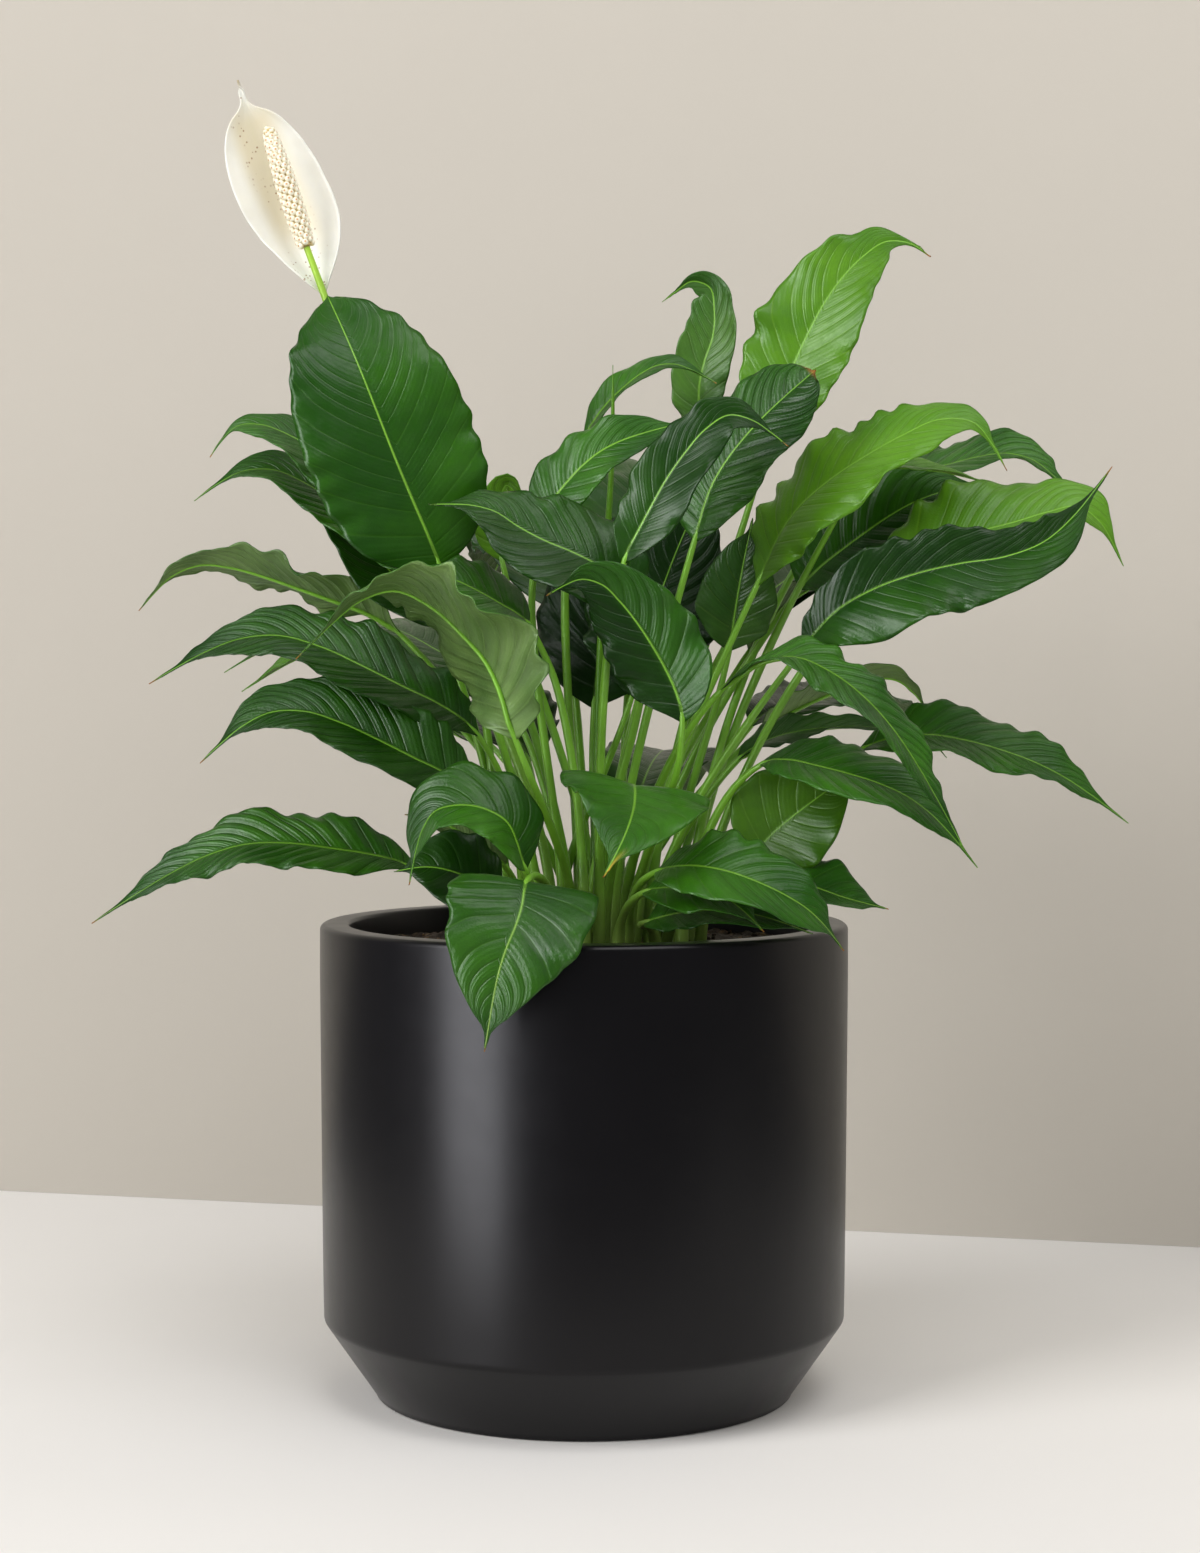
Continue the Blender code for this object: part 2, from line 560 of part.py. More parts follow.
def tries():
    """Small changes to a leaf's place, the smallest first: (back, up, shoot, bow)."""
    found = []
    for back in (0, -0.5, 0.5, -1, 1, -1.5, 1.5, -2, 2, -2.6, 2.6, -3.3, 3.3, -4, 4):
        for up in (0, 0.4, -0.4, 0.9, 1.5):
            for shoot in range(4):
                for bow in (0, 0.15, -0.15, 0.35, -0.35):
                    cost = abs(back) + 1.6 * abs(up) + 0.3 * shoot + 1.5 * abs(bow)
                    found.append((cost, back, up, shoot, bow))
    return [entry[1:] for entry in sorted(found, key=lambda entry: entry[0])]


def place_of(point, name):
    """A point of the leaf list in metres."""
    spread = FOLIAGE_SPREAD * CENTIMETRE
    if name in RIM_LEAVES:
        spread *= max(RIM_REACH, 1)
    return Vector((
        point[0] * spread,
        point[1] * spread,
        SOIL_TOP + point[2] * FOLIAGE_HEIGHT * CENTIMETRE,
    ))


def add_leaf(row, free, settled, order):
    name, outline, tone, width, facing, twist, points = row
    blade = [place_of(point, name) for point in points]
    wanted = Vector((blade[0].x * SHOOT_DRAW, blade[0].y * SHOOT_DRAW, 0))
    nearest = sorted(free, key=lambda place: (place - wanted).length)
    for shrink in (1.0, 0.88, 0.76, 0.6):
        size = width * CENTIMETRE * BLADE_WIDTH_FACTOR * shrink
        for back, up, shoot, bow in order:
            place = nearest[shoot]
            base = Vector((place.x, place.y, SOIL_TOP + GAP))
            shift = Vector((0, back, up)) * CENTIMETRE
            moved = [point + shift for point in blade]
            swollen = leaf_rings(base, moved, outline, size, Vector(facing), twist, LEAF_CLEARANCE, bow)
            corners, faces = skin(swollen)
            if not meets(corners, faces, settled):
                rings = leaf_rings(base, moved, outline, size, Vector(facing), twist, 0, bow)
                corners, faces = skin(rings)
                settle(settled, corners, faces)
                free.remove(place)
                finish = material(name, TONES[tone], 0.42)
                add_object(name, corners, faces_outwards(corners, faces), finish, True)
                return
    raise RuntimeError(name + " finds no clear place")


def tube(base, points, radii, count):
    """Rings of a stem from the soil through the points: radii at its foot, middle and top."""
    start = points[0]
    reach = (start - base).length
    leave = Vector((0, 0, reach * 1.1))
    path = path_through([base] + points, leave, 12)
    centres = along(path, [i / count for i in range(count + 1)])
    directions = directions_of(centres, Vector((0, 0, 1)))
    normals = carried(Vector((0.1, -1, 0.1)), directions, count // 2)
    rings = []
    for index, centre in enumerate(centres):
        share = index / count
        radius = radii[1] + (radii[0] - radii[1]) * max(0, 1 - share * 2) ** 2
        radius += (radii[2] - radii[1]) * max(0, share * 2 - 1) ** 2
        side = directions[index].cross(normals[index]).normalized()
        rings.append(stem_ring(centre, side, normals[index], radius))
    return rings, directions[-1]


def add_flower(free, settled):
    points = [place_of(point, "flower_stalk") for point in STALK_POINTS]
    wanted = Vector((points[0].x * SHOOT_DRAW, points[0].y * SHOOT_DRAW, 0))
    place = min(free, key=lambda spot: (spot - wanted).length)
    free.remove(place)
    base = Vector((place.x, place.y, SOIL_TOP + GAP))
    radii = (STALK_BASE_RADIUS, STALK_RADIUS, STIPE_RADIUS)
    rings, end = tube(base, points, radii, 16)
    corners, faces = skin(rings)
    settle(settled, corners, faces)
    green = material("flower_stalk", (0.120, 0.300, 0.040, 1.0), 0.45)
    add_object("flower_stalk", corners, faces_outwards(corners, faces), green, True)

    axis = Vector(SPADIX_DIRECTION).normalized()
    foot = points[-1] + end * GAP
    normal = Vector((0, -1, 0))
    normal = (normal - axis * normal.dot(axis)).normalized()
    side = axis.cross(normal)
    knob_rings = []
    for share, swell in ((0, 0.42), (0.02, 0.80), (0.1, 0.95), (0.3, 1.02), (0.55, 1.0), (0.8, 0.93),
                         (0.93, 0.70), (0.985, 0.40), (1.0, 0.12)):
        ring = []
        for index in range(SPADIX_SIDES):
            angle = 2 * math.pi * index / SPADIX_SIDES
            out = side * math.cos(angle) + normal * math.sin(angle)
            ring.append(foot + axis * (share * SPADIX_LENGTH) + out * (swell * SPADIX_RADIUS))
        knob_rings.append(ring)
    # The lowest ring stands square to the stipe, clear of its end.
    knob_rings[0] = [corner + end * GAP for corner in knob_rings[0]]
    corners, faces = skin(knob_rings)
    settle(settled, corners, faces)
    cream = material("spadix", (0.780, 0.700, 0.420, 1.0), 0.6)
    add_object("spadix", corners, faces_outwards(corners, faces), cream, True)

    blade = [place_of(point, "spathe") for point in SPATHE_POINTS]
    joint = min(rings, key=lambda ring: abs(ring[0].z - blade[0].z))
    middle = sum(joint, Vector()) / len(joint)
    behind = Vector((0, (joint[0] - middle).length + GAP + SPATHE_SEAT, 0))
    blade[0] = middle + behind
    path = path_through(blade, blade[1] - blade[0], 10)
    stations = OUTLINES["spathe"]
    centres = along(path, [0.0] + [station[0] for station in stations] + [1.0])
    directions = directions_of(centres, centres[1] - centres[0])
    normals = carried(Vector(SPATHE_FACING), directions, 6)
    halves = [0.05] + [station[1] for station in stations] + [0.02]
    spathe_rings = []
    for index, centre in enumerate(centres):
        side = directions[index].cross(normals[index]).normalized()
        half = SPATHE_WIDTH * CENTIMETRE / 2 * halves[index]
        spathe_rings.append(blade_ring(centre, side, normals[index], half, SPATHE_DEPTH, SPATHE_CUP))
    corners, faces = skin(spathe_rings)
    settle(settled, corners, faces)
    white = material("spathe", (0.830, 0.820, 0.720, 1.0), 0.5)
    add_object("spathe", corners, faces_outwards(corners, faces), white, True)


def add_spear(free, settled):
    """A young leaf that is still rolled up."""
    points = [place_of(point, "leaf_rolled") for point in SPEAR_POINTS]
    wanted = Vector((points[0].x * SHOOT_DRAW, points[0].y * SHOOT_DRAW, 0))
    place = min(free, key=lambda spot: (spot - wanted).length)
    free.remove(place)
    base = Vector((place.x, place.y, SOIL_TOP + GAP))
    radii = (PETIOLE_BASE_RADIUS, SPEAR_RADIUS, TIP_HALF_WIDTH * 0.6)
    rings, _ = tube(base, points, radii, 12)
    corners, faces = skin(rings)
    settle(settled, corners, faces)
    fresh = material("leaf_rolled", (0.150, 0.330, 0.040, 1.0), 0.45)
    add_object("leaf_rolled", corners, faces_outwards(corners, faces), fresh, True)


def main():
    clear_scene()
    settled = []

    corners, faces = turned(planter_profile(), POT_SIDES)
    black = material("planter", (0.012, 0.012, 0.013, 1.0), 0.38)
    settle(settled, corners, faces)
    add_object("planter", corners, faces_outwards(corners, faces), black, True)

    corners, faces = turned(soil_profile(), POT_SIDES)
    earth = material("potting_soil", (0.055, 0.032, 0.020, 1.0), 0.95)
    settle(settled, corners, faces)
    add_object("potting_soil", corners, faces_outwards(corners, faces), earth, False)

    free = shoot_places()
    add_flower(free, settled)
    add_spear(free, settled)
    order = tries()
    for row in LEAVES:
        add_leaf(row, free, settled, order)


main()
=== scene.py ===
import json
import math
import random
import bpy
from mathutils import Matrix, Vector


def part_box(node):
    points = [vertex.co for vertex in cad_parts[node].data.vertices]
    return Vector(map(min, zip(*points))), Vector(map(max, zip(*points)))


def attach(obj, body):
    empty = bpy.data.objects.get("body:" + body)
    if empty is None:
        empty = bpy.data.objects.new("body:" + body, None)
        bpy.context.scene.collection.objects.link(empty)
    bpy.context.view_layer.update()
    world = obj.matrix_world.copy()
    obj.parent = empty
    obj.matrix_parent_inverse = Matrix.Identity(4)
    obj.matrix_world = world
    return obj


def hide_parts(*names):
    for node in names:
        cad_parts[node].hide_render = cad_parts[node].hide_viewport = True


bl_info = {
    "name": "Potted Peace Lily",
    "version": (1, 0, 0),
    "blender": (4, 5, 0),
    "location": "View3D > Sidebar > Peace Lily",
    "description": "Grows a peace lily with pleated leaves and one flower in a black planter",
    "category": "Add Mesh",
}

import bpy
import numpy as np
from bpy.props import FloatProperty, FloatVectorProperty, IntProperty, PointerProperty
from mathutils import Matrix, Vector, noise

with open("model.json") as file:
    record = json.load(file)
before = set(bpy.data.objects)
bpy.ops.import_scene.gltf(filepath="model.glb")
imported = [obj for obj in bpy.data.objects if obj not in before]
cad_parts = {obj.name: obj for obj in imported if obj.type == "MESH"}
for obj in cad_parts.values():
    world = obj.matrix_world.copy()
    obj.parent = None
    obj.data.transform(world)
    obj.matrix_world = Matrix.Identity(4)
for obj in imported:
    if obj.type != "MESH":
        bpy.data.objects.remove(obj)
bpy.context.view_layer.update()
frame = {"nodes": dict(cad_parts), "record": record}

SOIL_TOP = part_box("potting_soil")[1].z
PLANTER_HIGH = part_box("planter")[1]
UP = np.array((0.0, 0.0, 1.0))


def colour(red, green, blue):
    """A linear colour from the 0 to 255 values of a colour picker."""
    made = []
    for value in (red, green, blue):
        share = value / 255
        made.append(share / 12.92 if share <= 0.04045 else ((share + 0.055) / 1.055) ** 2.4)
    return tuple(made)


# Upper side dark and light, underside dark and light, for each tone of leaf.
TONES = {
    "deep": (colour(20, 62, 4), colour(42, 90, 10), colour(50, 80, 20), colour(80, 110, 40)),
    "mid": (colour(28, 74, 8), colour(54, 106, 20), colour(58, 92, 26), colour(92, 126, 48)),
    "bright": (colour(58, 108, 12), colour(88, 138, 28), colour(78, 116, 30), colour(114, 146, 56)),
    "pale": (colour(46, 90, 24), colour(80, 122, 46), colour(72, 102, 44), colour(104, 134, 68)),
}

# Per leaf: how strongly it is pleated and ruffled, how steeply its two halves rise, how far each half is
# lightened (up to 1), for painted light and its own paler tone, or darkened (down to -1) with painted shade
# where it faces away from the lamps or lies behind other leaves, and how much wider than the frame's each
# half is, how far its tip narrows to a tail, how far its tip has dried, and how far it has yellowed. A pair
# is for the halves left and right of the midrib, looking from foot to tip.
CHARACTER = {
    "left_long_low": dict(pleat=2.8, dry=0.3, ruffle=1.2, tint=(-0.3, 0.0)),
    "left_middle": dict(pleat=2.4, dry=0.6, ruffle=1.3, tint=(-0.5, -0.1)),
    "left_low": dict(pleat=2.2, dry=0.4, fold=(0.15, 0.5), tint=(-0.6, -0.3)),
    "left_pale": dict(ruffle=1.7, fold=(0.3, 0.1), pleat=3.4, tint=(0.0, -0.1)),
    "left_arched": dict(pleat=2.0, dry=0.5, wide=(1.45, 1.45), ruffle=1.4, fold=(0.12, 0.12),
                        tint=(0.1, 0.0)),
    "left_broad": dict(pleat=0.45, dry=0.0, ruffle=0.75, fold=(0.1, 0.16), tail=0.05, tint=(0.1, 0.2),
                       wide=(1.03, 1.03)),
    "left_lowest": dict(tint=(-0.8, -0.6)),
    "left_curled": dict(tint=(0.3, -0.5)),
    "left_behind": dict(tint=(-0.6, -0.3)),
    "left_wavy": dict(tint=(-0.3, -0.5)),
    "young_curled": dict(tint=(1.0, 1.0), tail=0.1),
    "front_hanging": dict(pleat=1.2, dry=0.2, ruffle=0.8, tint=(-0.5, -0.35)),
    "front_yellowed": dict(pleat=0.8, dry=0.4, yellow=1.0, tint=(0.1, 0.0)),
    "front_glossy": dict(fold=(0.05, 0.3), ruffle=1.3, dry=0.2, tint=(-0.9, 0.2), wide=(0.75, 0.8)),
    "front_dark": dict(fold=(0.35, 0.05), ruffle=1.3, tint=(-0.6, -0.3)),
    "front_on_rim": dict(tint=(0.0, -0.2)),
    "right_big": dict(pleat=0.9, dry=0.8, fold=(0.7, 0.1), ruffle=1.6, tint=(-0.85, -0.35),
                      wide=(0.6, 1.12)),
    "right_pleated": dict(pleat=2.6, dry=0.7, tint=(0.0, -0.2)),
    "right_veined": dict(pleat=1.6, dry=0.3, tint=(0.5, 0.0), wide=(1.15, 1.2)),
    "right_draped": dict(pleat=1.8, ruffle=1.5, fold=(0.3, 0.1), tint=(0.0, -0.3)),
    "right_long_bright": dict(pleat=0.6, dry=0.6, ruffle=1.6, fold=(0.1, 0.12), tint=(0.3, 0.6)),
    "right_olive": dict(pleat=0.5, fold=(0.3, 0.05), tint=(-0.45, -0.6), ruffle=0.8),
    "right_outer": dict(tint=(0.4, 0.2), wide=(1.3, 1.1)),
    "right_shaded": dict(tint=(-0.5, -0.5)),
    "right_grey": dict(ruffle=1.9),
    "right_farthest": dict(ruffle=1.4, pleat=1.6, tint=(0.2, 0.2)),
    "top_browned": dict(pleat=1.8, dry=0.7, ruffle=1.2, tail=0.0, tint=(0.2, -0.3), wide=(1.2, 1.2)),
    "top_dark": dict(pleat=0.4, ruffle=1.5, tint=(-0.6, -0.7), wide=(0.6, 0.7)),
    "top_glossy": dict(tint=(0.3, 0.1), pleat=1.2),
    "top_bright": dict(pleat=0.5, dry=0.5, ruffle=1.3, tint=(0.1, -0.1)),
    "top_pale": dict(pleat=1.0, ruffle=1.5),
    "inner_a": dict(tint=(-1.0, -0.9), wide=(1.25, 1.25)),
    "inner_b": dict(tint=(-0.9, -1.0), wide=(1.25, 1.25)),
    "inner_c": dict(tint=(-0.6, -0.6), wide=(1.2, 1.2)),
}

# Leaves behind the others are a little wider than the frame's and darkened with painted shade.
for _letters, _wide, _painted_shade in (("abcd", 1.3, -0.7), ("efg", 1.25, -0.6)):
    for _letter in _letters:
        CHARACTER[f"back_{_letter}"] = dict(wide=(_wide, _wide), tint=(_painted_shade, _painted_shade))


def length(name, description, default, low, high):
    """A setting that is a length."""
    return FloatProperty(name=name, description=description, default=default, min=low, max=high,
                         unit="LENGTH")


def tone(name, description, *shade):
    """A setting that is a colour, given by its 0 to 255 values."""
    return FloatVectorProperty(name=name, description=description, default=colour(*shade),
                               subtype="COLOR", min=0, max=1)


def power(name, description, default):
    """A setting that is the power of a light."""
    return FloatProperty(name=name, description=description, default=default, min=0, subtype="POWER")


class PlanterSettings(bpy.types.PropertyGroup):
    sides: IntProperty(name="Sides", description="Facets round the planter", default=256, min=48, max=512)
    rim_rounding: length("Rim Rounding", "Radius of the rim's corners", 0.003, 0.0005, 0.007)
    wall: length("Wall", "Width of the flat rim", 0.015, 0.004, 0.03)
    colour: tone("Colour", "Satin black of the planter", 8, 7, 9)


class SoilSettings(bpy.types.PropertyGroup):
    roughness: length("Unevenness", "Height of the lumps in the soil", 0.0022, 0, 0.006)
    crumbs: IntProperty(name="Crumbs", description="Loose crumbs and bark chips on the soil", default=420,
                        min=0, max=1500)
    colour: tone("Colour", "Damp soil", 58, 42, 28)


class LeafSettings(bpy.types.PropertyGroup):
    vein_spacing: length("Vein Spacing", "Distance between side veins along the midrib", 0.0092, 0.004, 0.02)
    pleat_height: length("Pleat Height", "Height of the swelling between two side veins", 0.0005, 0, 0.003)
    ruffle_height: length("Ruffle Height", "Height of the ruffles along the margin", 0.0024, 0, 0.006)
    thickness: length("Thickness", "Thickness of a blade", 0.0005, 0.0002, 0.002)
    midrib_colour: tone("Midrib Colour", "Midrib on the upper side", 100, 146, 42)
    stalk_colour: tone("Stalk Colour", "Leaf stalks", 112, 168, 44)
    dry_colour: tone("Dry Colour", "Dried tips", 150, 98, 42)


class FlowerSettings(bpy.types.PropertyGroup):
    bract_colour: tone("Bract Colour", "The white bract", 238, 237, 229)
    knob_size: length("Knob Size", "Width of one knob of the flower spike", 0.0032, 0.001, 0.004)
    spike_colour: tone("Spike Colour", "Knobs of the flower spike", 248, 243, 222)


class StageSettings(bpy.types.PropertyGroup):
    floor_colour: tone("Floor Colour", "Pale floor", 234, 231, 227)
    wall_colour: tone("Wall Colour", "Pale backdrop", 188, 182, 172)
    key_power: power("Key Power", "Power of the soft light on the left", 86)
    top_power: power("Top Power", "Power of the overhead light", 42)


class PeaceLilySettings(bpy.types.PropertyGroup):
    planter: PointerProperty(type=PlanterSettings)
    soil: PointerProperty(type=SoilSettings)
    leaves: PointerProperty(type=LeafSettings)
    flower: PointerProperty(type=FlowerSettings)
    stage: PointerProperty(type=StageSettings)


# ---------------------------------------------------------------- node helpers


def scaled(base, factor):
    """A colour darkened or lightened by one factor, or by one for each channel."""
    return tuple(np.minimum(1, np.multiply(base, factor)))


class Nodes:
    """Adds nodes to a shader tree. Most methods give back the new node's output."""

    def __init__(self, tree):
        self.tree = tree

    def feed(self, value, socket):
        """Links or sets one input."""
        if isinstance(value, bpy.types.NodeSocket):
            self.tree.links.new(value, socket)
        else:
            socket.default_value = (*value[:3], 1) if socket.type == "RGBA" else value

    def put(self, kind, inputs=None, **settings):
        """A shader node with its settings and its inputs."""
        made = self.tree.nodes.new("ShaderNode" + kind)
        for key, value in settings.items():
            setattr(made, key, value)
        for key, value in (inputs or {}).items():
            self.feed(value, made.inputs[key])
        return made

    def reckon(self, operation, *values):
        return self.put("Math", dict(enumerate(values)), operation=operation).outputs[0]

    def times(self, first, second):
        return self.reckon("MULTIPLY", first, second)

    def spread(self, value, low, high, to_low=0.0, to_high=1.0):
        """Maps value from low..high to to_low..to_high, softly and clamped."""
        ends = {"Value": value, "From Min": low, "From Max": high, "To Min": to_low, "To Max": to_high}
        return self.put("MapRange", ends, interpolation_type="SMOOTHSTEP").outputs[0]

    def blend(self, factor, below, above):
        made = self.put("Mix", {}, data_type="RGBA", blend_type="MIX", clamp_factor=True)
        for index, value in ((0, factor), (6, below), (7, above)):
            self.feed(value, made.inputs[index])
        return made.outputs[2]

    def attribute(self, name):
        return self.put("Attribute", attribute_name=name).outputs["Fac"]

    def grain(self, vector, scale, detail=3.0, rough=0.55):
        texture = {"Vector": vector, "Scale": scale, "Detail": detail, "Roughness": rough}
        return self.put("TexNoise", texture).outputs["Fac"]


class Skin(Nodes):
    """The nodes of a new material."""

    def __init__(self, name):
        self.material = bpy.data.materials.new(name)
        self.material.use_nodes = True
        super().__init__(self.material.node_tree)
        self.shader = self.tree.nodes["Principled BSDF"]
        self.position = self.put("TexCoord").outputs["Object"]

    def mottle(self, size):
        """Broad and fine unevenness, of so many patches per metre."""
        made = self.put("Group", {}, node_tree=mottle_group())
        self.feed(self.position, made.inputs["Position"])
        self.feed(size, made.inputs["Size"])
        return made.outputs["Broad"], made.outputs["Fine"]

    def finish(self, body, rough, bump, others=()):
        """Wires colour, roughness, a bump of height, strength and distance, and plain inputs."""
        relief = self.put("Bump", dict(zip(("Height", "Strength", "Distance"), bump)))
        wired = {"Base Color": body, "Roughness": rough, "Normal": relief.outputs[0], **dict(others)}
        for key, value in wired.items():
            self.feed(value, self.shader.inputs[key])
        return self.material


def node_group(name, inputs, outputs, draw):
    """The node group of that name, made by draw the first time. Its Position is a vector."""
    found = bpy.data.node_groups.get(name)
    if found:
        return found
    tree = bpy.data.node_groups.new(name, "ShaderNodeTree")
    for in_out, sockets in (("INPUT", inputs), ("OUTPUT", outputs)):
        for socket in sockets:
            kind = "NodeSocketVector" if socket == "Position" else "NodeSocketFloat"
            tree.interface.new_socket(socket, in_out=in_out, socket_type=kind)
    nodes = Nodes(tree)
    given = tree.nodes.new("NodeGroupInput").outputs
    result = tree.nodes.new("NodeGroupOutput").inputs
    for value, socket in zip(draw(nodes, given), outputs):
        nodes.feed(value, result[socket])
    return tree


RIB_WIDTH = 0.0010
RIB_NARROWING = 0.0007
PORES_PER_METRE = 900.0


def draw_veins(nodes, given):
    near = nodes.reckon("PINGPONG", given["Vein"], 0.5)
    side = nodes.spread(near, 0.0, 0.07, 1.0, 0.0)
    width = nodes.reckon("MULTIPLY_ADD", given["Along"], -RIB_NARROWING, RIB_WIDTH)
    away = nodes.reckon("SMOOTH_MIN", nodes.reckon("DIVIDE", given["From Midrib"], width), 1.0, 0.4)
    midrib = nodes.spread(nodes.reckon("SUBTRACT", 1.0, away), 0.0, 0.35)
    fine = nodes.times(nodes.reckon("PINGPONG", nodes.times(given["Vein"], 4.0), 0.5), 0.6)
    skin = nodes.times(nodes.grain(given["Position"], PORES_PER_METRE, 2.0), 0.5)
    height = nodes.reckon("ADD", nodes.reckon("SUBTRACT", fine, nodes.times(side, 0.5)), skin)
    # Where painted shade goes: the valleys beside the side veins and between the fine veins.
    valley = nodes.reckon("ADD", nodes.spread(near, 0.04, 0.3, 0.75, 0.0),
                          nodes.spread(fine, 0.0, 0.12, 0.25, 0.0))
    return side, valley, midrib, height


def veins_group():
    """Masks and relief of side veins and midrib, and the mask for painted shade in the pleats' valleys, from
    the blade's own attributes.
    """
    return node_group("Leaf Veins", ("Vein", "From Midrib", "Along", "Position"),
                      ("Side Veins", "Valley", "Midrib", "Height"), draw_veins)


def draw_mottle(nodes, given):
    broad = nodes.grain(given["Position"], given["Size"], 3.0, 0.5)
    fine = nodes.grain(given["Position"], nodes.times(given["Size"], 9.0), 4.0, 0.65)
    return nodes.spread(broad, 0.32, 0.68), nodes.spread(fine, 0.3, 0.7)


def mottle_group():
    """Broad and fine unevenness of a living surface."""
    return node_group("Mottle", ("Position", "Size"), ("Broad", "Fine"), draw_mottle)


# ---------------------------------------------------------------- plant materials


LEAF_BUMP = (0.7, 0.0006)


class LeafSkin(Skin):
    """The nodes of one side of a leaf, shaded by the blade's own attributes."""

    def __init__(self, name, patches):
        super().__init__(name)
        self.broad, self.fine = self.mottle(patches)
        made = self.put("Group", {}, node_tree=veins_group())
        self.feed(self.position, made.inputs["Position"])
        for socket, key in (("Vein", "vein"), ("From Midrib", "from_midrib"), ("Along", "along")):
            self.feed(self.attribute(key), made.inputs[socket])
        self.veins = made.outputs
        self.toward, self.pleated = self.attribute("tint"), self.attribute("pleated")

    def shaded(self, body, dark, light, lift, drop, deepest):
        """Body lightened by lift, for painted light and paler tone, or darkened by drop with painted shade,
        as its half of the leaf asks.
        """
        body = self.blend(self.times(self.toward, lift), body, light)
        return self.blend(self.times(self.toward, -drop), body, scaled(dark, deepest))

    # Painted shade in the valleys of the pleats.
    def paint_valley_shade(self, body, strength, tone):
        return self.blend(self.times(self.veins["Valley"], self.times(self.pleated, strength)), body, tone)

    def aged(self, body, yellow, dry):
        body = self.blend(self.attribute("yellow"), body, yellow)
        return self.blend(self.attribute("dry"), body, tuple(dry))


def upper_side(name, dark, light, settings):
    nodes = LeafSkin(name, 22.0)
    body = nodes.blend(nodes.broad, dark, light)
    body = nodes.blend(nodes.times(nodes.fine, 0.25), body, scaled(dark, 0.7))
    # Painted light on a half that faces the lamps, painted shade on a half that faces away.
    body = nodes.shaded(body, dark, light, 1.0, 0.9, 0.34)
    # Painted shade in the valleys of the pleats.
    body = nodes.paint_valley_shade(body, 0.45, scaled(dark, 0.4))
    # Side veins and midrib fade on a half darkened with painted shade.
    fade_under_painted_shade = nodes.reckon("MULTIPLY_ADD", nodes.reckon("MINIMUM", nodes.toward, 0.0), 0.7, 1.0)
    for mask, strength, tone in (("Side Veins", 0.2, scaled(light, (1.7, 1.35, 1.0))),
                                 ("Midrib", 0.75, tuple(settings.midrib_colour))):
        body = nodes.blend(nodes.times(nodes.veins[mask], nodes.times(fade_under_painted_shade, strength)), body, tone)
    body = nodes.aged(body, colour(196, 170, 52), settings.dry_colour)
    rough = nodes.spread(nodes.fine, 0.0, 1.0, 0.28, 0.40)
    rough = nodes.reckon("MULTIPLY_ADD", nodes.attribute("dry"), 0.3, rough)
    relief = nodes.times(nodes.veins["Height"], nodes.pleated)
    return nodes.finish(body, rough, (relief, *LEAF_BUMP), {"Specular IOR Level": 0.3})


def underside(name, dark, light, settings):
    nodes = LeafSkin(name, 26.0)
    body = nodes.blend(nodes.broad, dark, light)
    # Painted light on a half that faces the lamps, painted shade on a half that faces away.
    body = nodes.shaded(body, dark, light, 0.8, 0.7, 0.4)
    # Painted shade in the valleys of the pleats.
    body = nodes.paint_valley_shade(body, 0.55, scaled(dark, 0.55))
    body = nodes.blend(nodes.times(nodes.veins["Side Veins"], 0.3), body, scaled(light, 1.35))
    body = nodes.aged(body, colour(186, 164, 70), settings.dry_colour)
    relief = nodes.times(nodes.veins["Height"], -1.0)
    return nodes.finish(body, nodes.spread(nodes.fine, 0, 1, 0.42, 0.56), (relief, *LEAF_BUMP))


STREAK_SCALE = (900.0, 900.0, 30.0)
STALK_PALE_REACH = 0.05
STALK_FRESH_FROM, STALK_FRESH_TO = 0.52, 0.60


def stalk_material(name, base, foot, top):
    """Stalk that pales towards the soil and freshens towards its top."""
    nodes = Skin(name)
    broad, fine = nodes.mottle(40.0)
    height = nodes.put("SeparateXYZ", {0: nodes.position}).outputs["Z"]
    streak = nodes.put("Mapping", {"Vector": nodes.position, "Scale": STREAK_SCALE}).outputs[0]
    lines = nodes.grain(streak, 1.0, 2.0)
    body = nodes.blend(broad, scaled(base, 0.72), base)
    body = nodes.blend(nodes.times(lines, 0.35), body, scaled(base, 1.35))
    body = nodes.blend(nodes.spread(height, SOIL_TOP, SOIL_TOP + STALK_PALE_REACH, 0.7, 0.0), body, foot)
    body = nodes.blend(nodes.spread(height, STALK_FRESH_FROM, STALK_FRESH_TO, 0.0, 0.9), body, top)
    return nodes.finish(body, nodes.spread(fine, 0, 1, 0.32, 0.46), (lines, 0.35, 0.0003))


# ---------------------------------------------------------------- modelling helpers


def alone(piece):
    """Makes piece the one selected and active object."""
    bpy.ops.object.select_all(action="DESELECT")
    piece.select_set(True)
    bpy.context.view_layer.objects.active = piece


def add(operator, name, **settings):
    """The named object that an adding operator makes."""
    bpy.ops.object.select_all(action="DESELECT")
    operator(**settings)
    piece = bpy.context.object
    piece.name = piece.data.name = name
    return piece


def paint(piece, *materials):
    piece.data.materials.clear()
    for material in materials:
        piece.data.materials.append(material)


def points_of(mesh):
    points = np.empty(len(mesh.vertices) * 3)
    mesh.vertices.foreach_get("co", points)
    return points.reshape(-1, 3)


